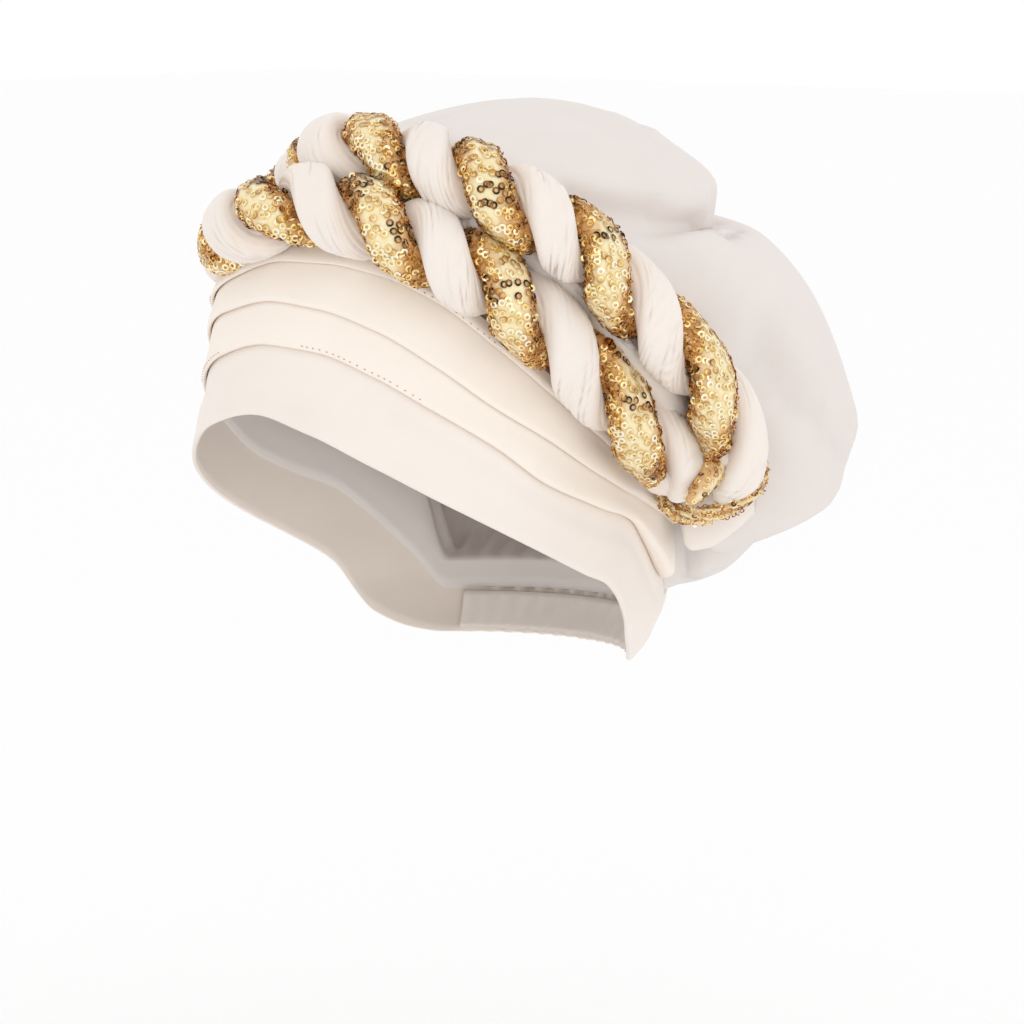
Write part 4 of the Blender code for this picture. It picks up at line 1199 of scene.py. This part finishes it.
def knot_shade(points):
    """Painted shade along both sides of a plump fold."""
    sections, places = points.shape[:2]
    beside = 0.7 * ease(0.45, 0.95, np.abs(np.sin(2 * math.pi * np.arange(places) / places)))
    return np.tile(beside, (sections, 1))


def cover_in_sequins(name, points, draw, spacing, lean, size):
    """Sews sequins all over a small form, leaning at random by up to about lean."""
    centres, normals, _ = scatter_on(points, lambda spot: True, spacing * SEQUIN_SPACING, draw)
    facing = unit(normals + lean * draw.normal(size=centres.shape))
    tones = np.clip(draw.normal(0.52, 0.24, len(centres)), 0, 1)
    sequins = sew_sequins(name, centres + normals * SEQUIN_LIFT, facing, tones, size, draw)
    dress(sequins, sequin_finish, "gold_sequin_cloth")


TIE_SEED = 21
TIE_SEQUINS = {"spacing": 0.62, "lean": 0.5, "size": 0.75}
NECK_SEQUINS = {"spacing": 0.8, "lean": 0.3, "size": 0.8}
WRUNG_SHADE = (0.86, 0.60, 0.28)
WRUNG_LIGHT = (1.0, 0.93, 0.67)
wrung_cloth = champagne_knit("Wrung champagne knit", AMBER_PAINTED_SHADE, WRUNG_SHADE, WRUNG_LIGHT)
for row in TIES:
    tie = dict(zip(TIE_COLUMNS, row))
    draw = np.random.default_rng(TIE_SEED + tie["side"])
    for knot_row in KNOT:
        fold = dict(zip(KNOT_COLUMNS, knot_row))
        name = tie["node"].replace("tie", fold["name"])
        points = knot_points(tie["side"], fold)
        lobe = cloth_mesh(name, points, knot_shade(points))
        if fold["cloth"] == "cream":
            dress(lobe, strand_cloth, "cream_cloth")
        else:
            dress(lobe, wrung_cloth, "gold_sequin_cloth")
            cover_in_sequins(name + "_sequins", points, draw, **NECK_SEQUINS)
    points = tie_points(tie["side"], tie["angle"], tie["reach"])
    # Painted shade in the troughs between the wrung ridges.
    band = cloth_mesh(tie["name"], points, 0.8 * ease(0.1, -0.9, wrung_ridges()))
    dress(band, wrung_cloth, "gold_sequin_cloth", tie["node"])
    cover_in_sequins(tie["name"] + "_sequins", points, draw, **TIE_SEQUINS)
    end = cloth_mesh(tie["node"].replace("tie", "cream_end"), tuck_points(tie["side"]))
    dress(end, strand_cloth, "cream_cloth", tie["node"].replace("tie", "tuck"))


# Nape elastic. A narrow elastic in a casing of thin cloth, sewn inside the band at the nape.
# It draws the casing into a fine ruffle.

ELASTIC_REACH = 148
ELASTIC_TOP = 0.017
ELASTIC_BOTTOM = 0.002
RUFFLE_DEPTH = 0.0009
RUFFLES_PER_DEGREE = 0.22
CASING_ROWS = 8
CASING_SWELL = 0.0006
# The colour that painted fold shade would darken the casing toward; the casing is given no painted shade.
CASING_PAINTED_FOLD_SHADE = (0.80, 0.72, 0.65)


def elastic_points():
    """The casing's closed sections, with the ruffle on its inner side."""
    sweep = np.arange(ELASTIC_REACH, 360 - ELASTIC_REACH + 0.01, 0.5)
    angle = np.where(sweep > 180, sweep - 360, sweep)
    low = edge_height("rim", angle) + ELASTIC_BOTTOM
    wave = RUFFLE_DEPTH * (0.5 + 0.5 * np.sin(2 * math.pi * RUFFLES_PER_DEGREE * sweep))
    outer = np.full(len(sweep), -2 * SEAM_GAP)
    inner = outer - CLOTH - wave
    shares = np.linspace(0, 1, CASING_ROWS)
    places = []
    for share in shares:
        height = low + (ELASTIC_TOP - ELASTIC_BOTTOM) * share
        places.append(on_form(angle, height, outer - wave * (1 - ease(0, 0.4, share))))
    for share in shares[::-1]:
        height = low + (ELASTIC_TOP - ELASTIC_BOTTOM) * share
        places.append(on_form(angle, height, inner - CASING_SWELL * math.sin(math.pi * share)))
    return np.stack(places, 1)


elastic = cloth_mesh("nape_elastic_casing", elastic_points())
elastic_cloth = cream_cloth("Elastic casing cloth", CREAM, CASING_PAINTED_FOLD_SHADE)
dress(elastic, elastic_cloth, "elastic", "nape_elastic")


# Floor and light. A plain pale floor well below the hat, a large soft box high in front of it,
# a smaller one beside the hat on its left, and a white surround.

FLOOR_DROP = 0.34
FLOOR_REACH = 9.0
floor_sides = ((-1, -1), (1, -1), (1, 1), (-1, 1))
floor_corners = [(x * FLOOR_REACH, y * FLOOR_REACH, -FLOOR_DROP) for x, y in floor_sides]
floor_mesh = bpy.data.meshes.new("floor")
floor_mesh.from_pydata(floor_corners, [], [(0, 1, 2, 3)])
floor = bpy.data.objects.new("floor", floor_mesh)
bpy.context.scene.collection.objects.link(floor)
floor_paint = bpy.data.materials.new("Pale floor")
floor_paint.use_nodes = True
floor_shader = floor_paint.node_tree.nodes["Principled BSDF"]
floor_shader.inputs["Base Color"].default_value = (0.985, 0.985, 0.985, 1)
floor_shader.inputs["Roughness"].default_value = 0.9
floor_mesh.materials.append(floor_paint)

surround = bpy.data.worlds.new("Surround")
surround.use_nodes = True
backdrop = surround.node_tree.nodes["Background"]
backdrop.inputs["Color"].default_value = (1.0, 1.0, 1.0, 1)
backdrop.inputs["Strength"].default_value = 1.0
bpy.context.scene.world = surround

LIGHT_COLUMNS = ("name", "place", "width", "watts")
LIGHTS = (
    ("Key soft box", (1.2, -1.5, 1.0), 1.4, 1.5),
    ("Side soft box", (1.7, -0.5, -0.1), 1.0, 1.7),
)
for row in LIGHTS:
    light = dict(zip(LIGHT_COLUMNS, row))
    lamp = bpy.data.lights.new(light["name"], "AREA")
    lamp.size = light["width"]
    lamp.energy = light["watts"]
    held = bpy.data.objects.new(light["name"], lamp)
    held.location = light["place"]
    held.rotation_euler = (-Vector(light["place"])).to_track_quat("-Z", "Y").to_euler()
    bpy.context.scene.collection.objects.link(held)


# Camera. It looks from the front left of the hat, a little from above.

CAMERA_AZIMUTH = math.radians(42)
CAMERA_ELEVATION = math.radians(8)
CAMERA_DISTANCE = 1.8
CAMERA_LENS = 151.875
CAMERA_AIM_RIGHT = 94 / 2400
CAMERA_AIM_DOWN = 119 / 2400
look = Vector((
    -math.sin(CAMERA_AZIMUTH) * math.cos(CAMERA_ELEVATION),
    math.cos(CAMERA_AZIMUTH) * math.cos(CAMERA_ELEVATION),
    -math.sin(CAMERA_ELEVATION),
))
to_right = Vector((math.cos(CAMERA_AZIMUTH), math.sin(CAMERA_AZIMUTH), 0))
aim = to_right * CAMERA_AIM_RIGHT - to_right.cross(look) * CAMERA_AIM_DOWN
lens = bpy.data.cameras.new("Camera")
lens.lens = CAMERA_LENS
lens.sensor_width = 36
camera = bpy.data.objects.new("Camera", lens)
camera.location = aim - look * CAMERA_DISTANCE
camera.rotation_euler = look.to_track_quat("-Z", "Y").to_euler()
bpy.context.scene.collection.objects.link(camera)
bpy.context.scene.camera = camera
bpy.context.scene.view_settings.view_transform = "Standard"
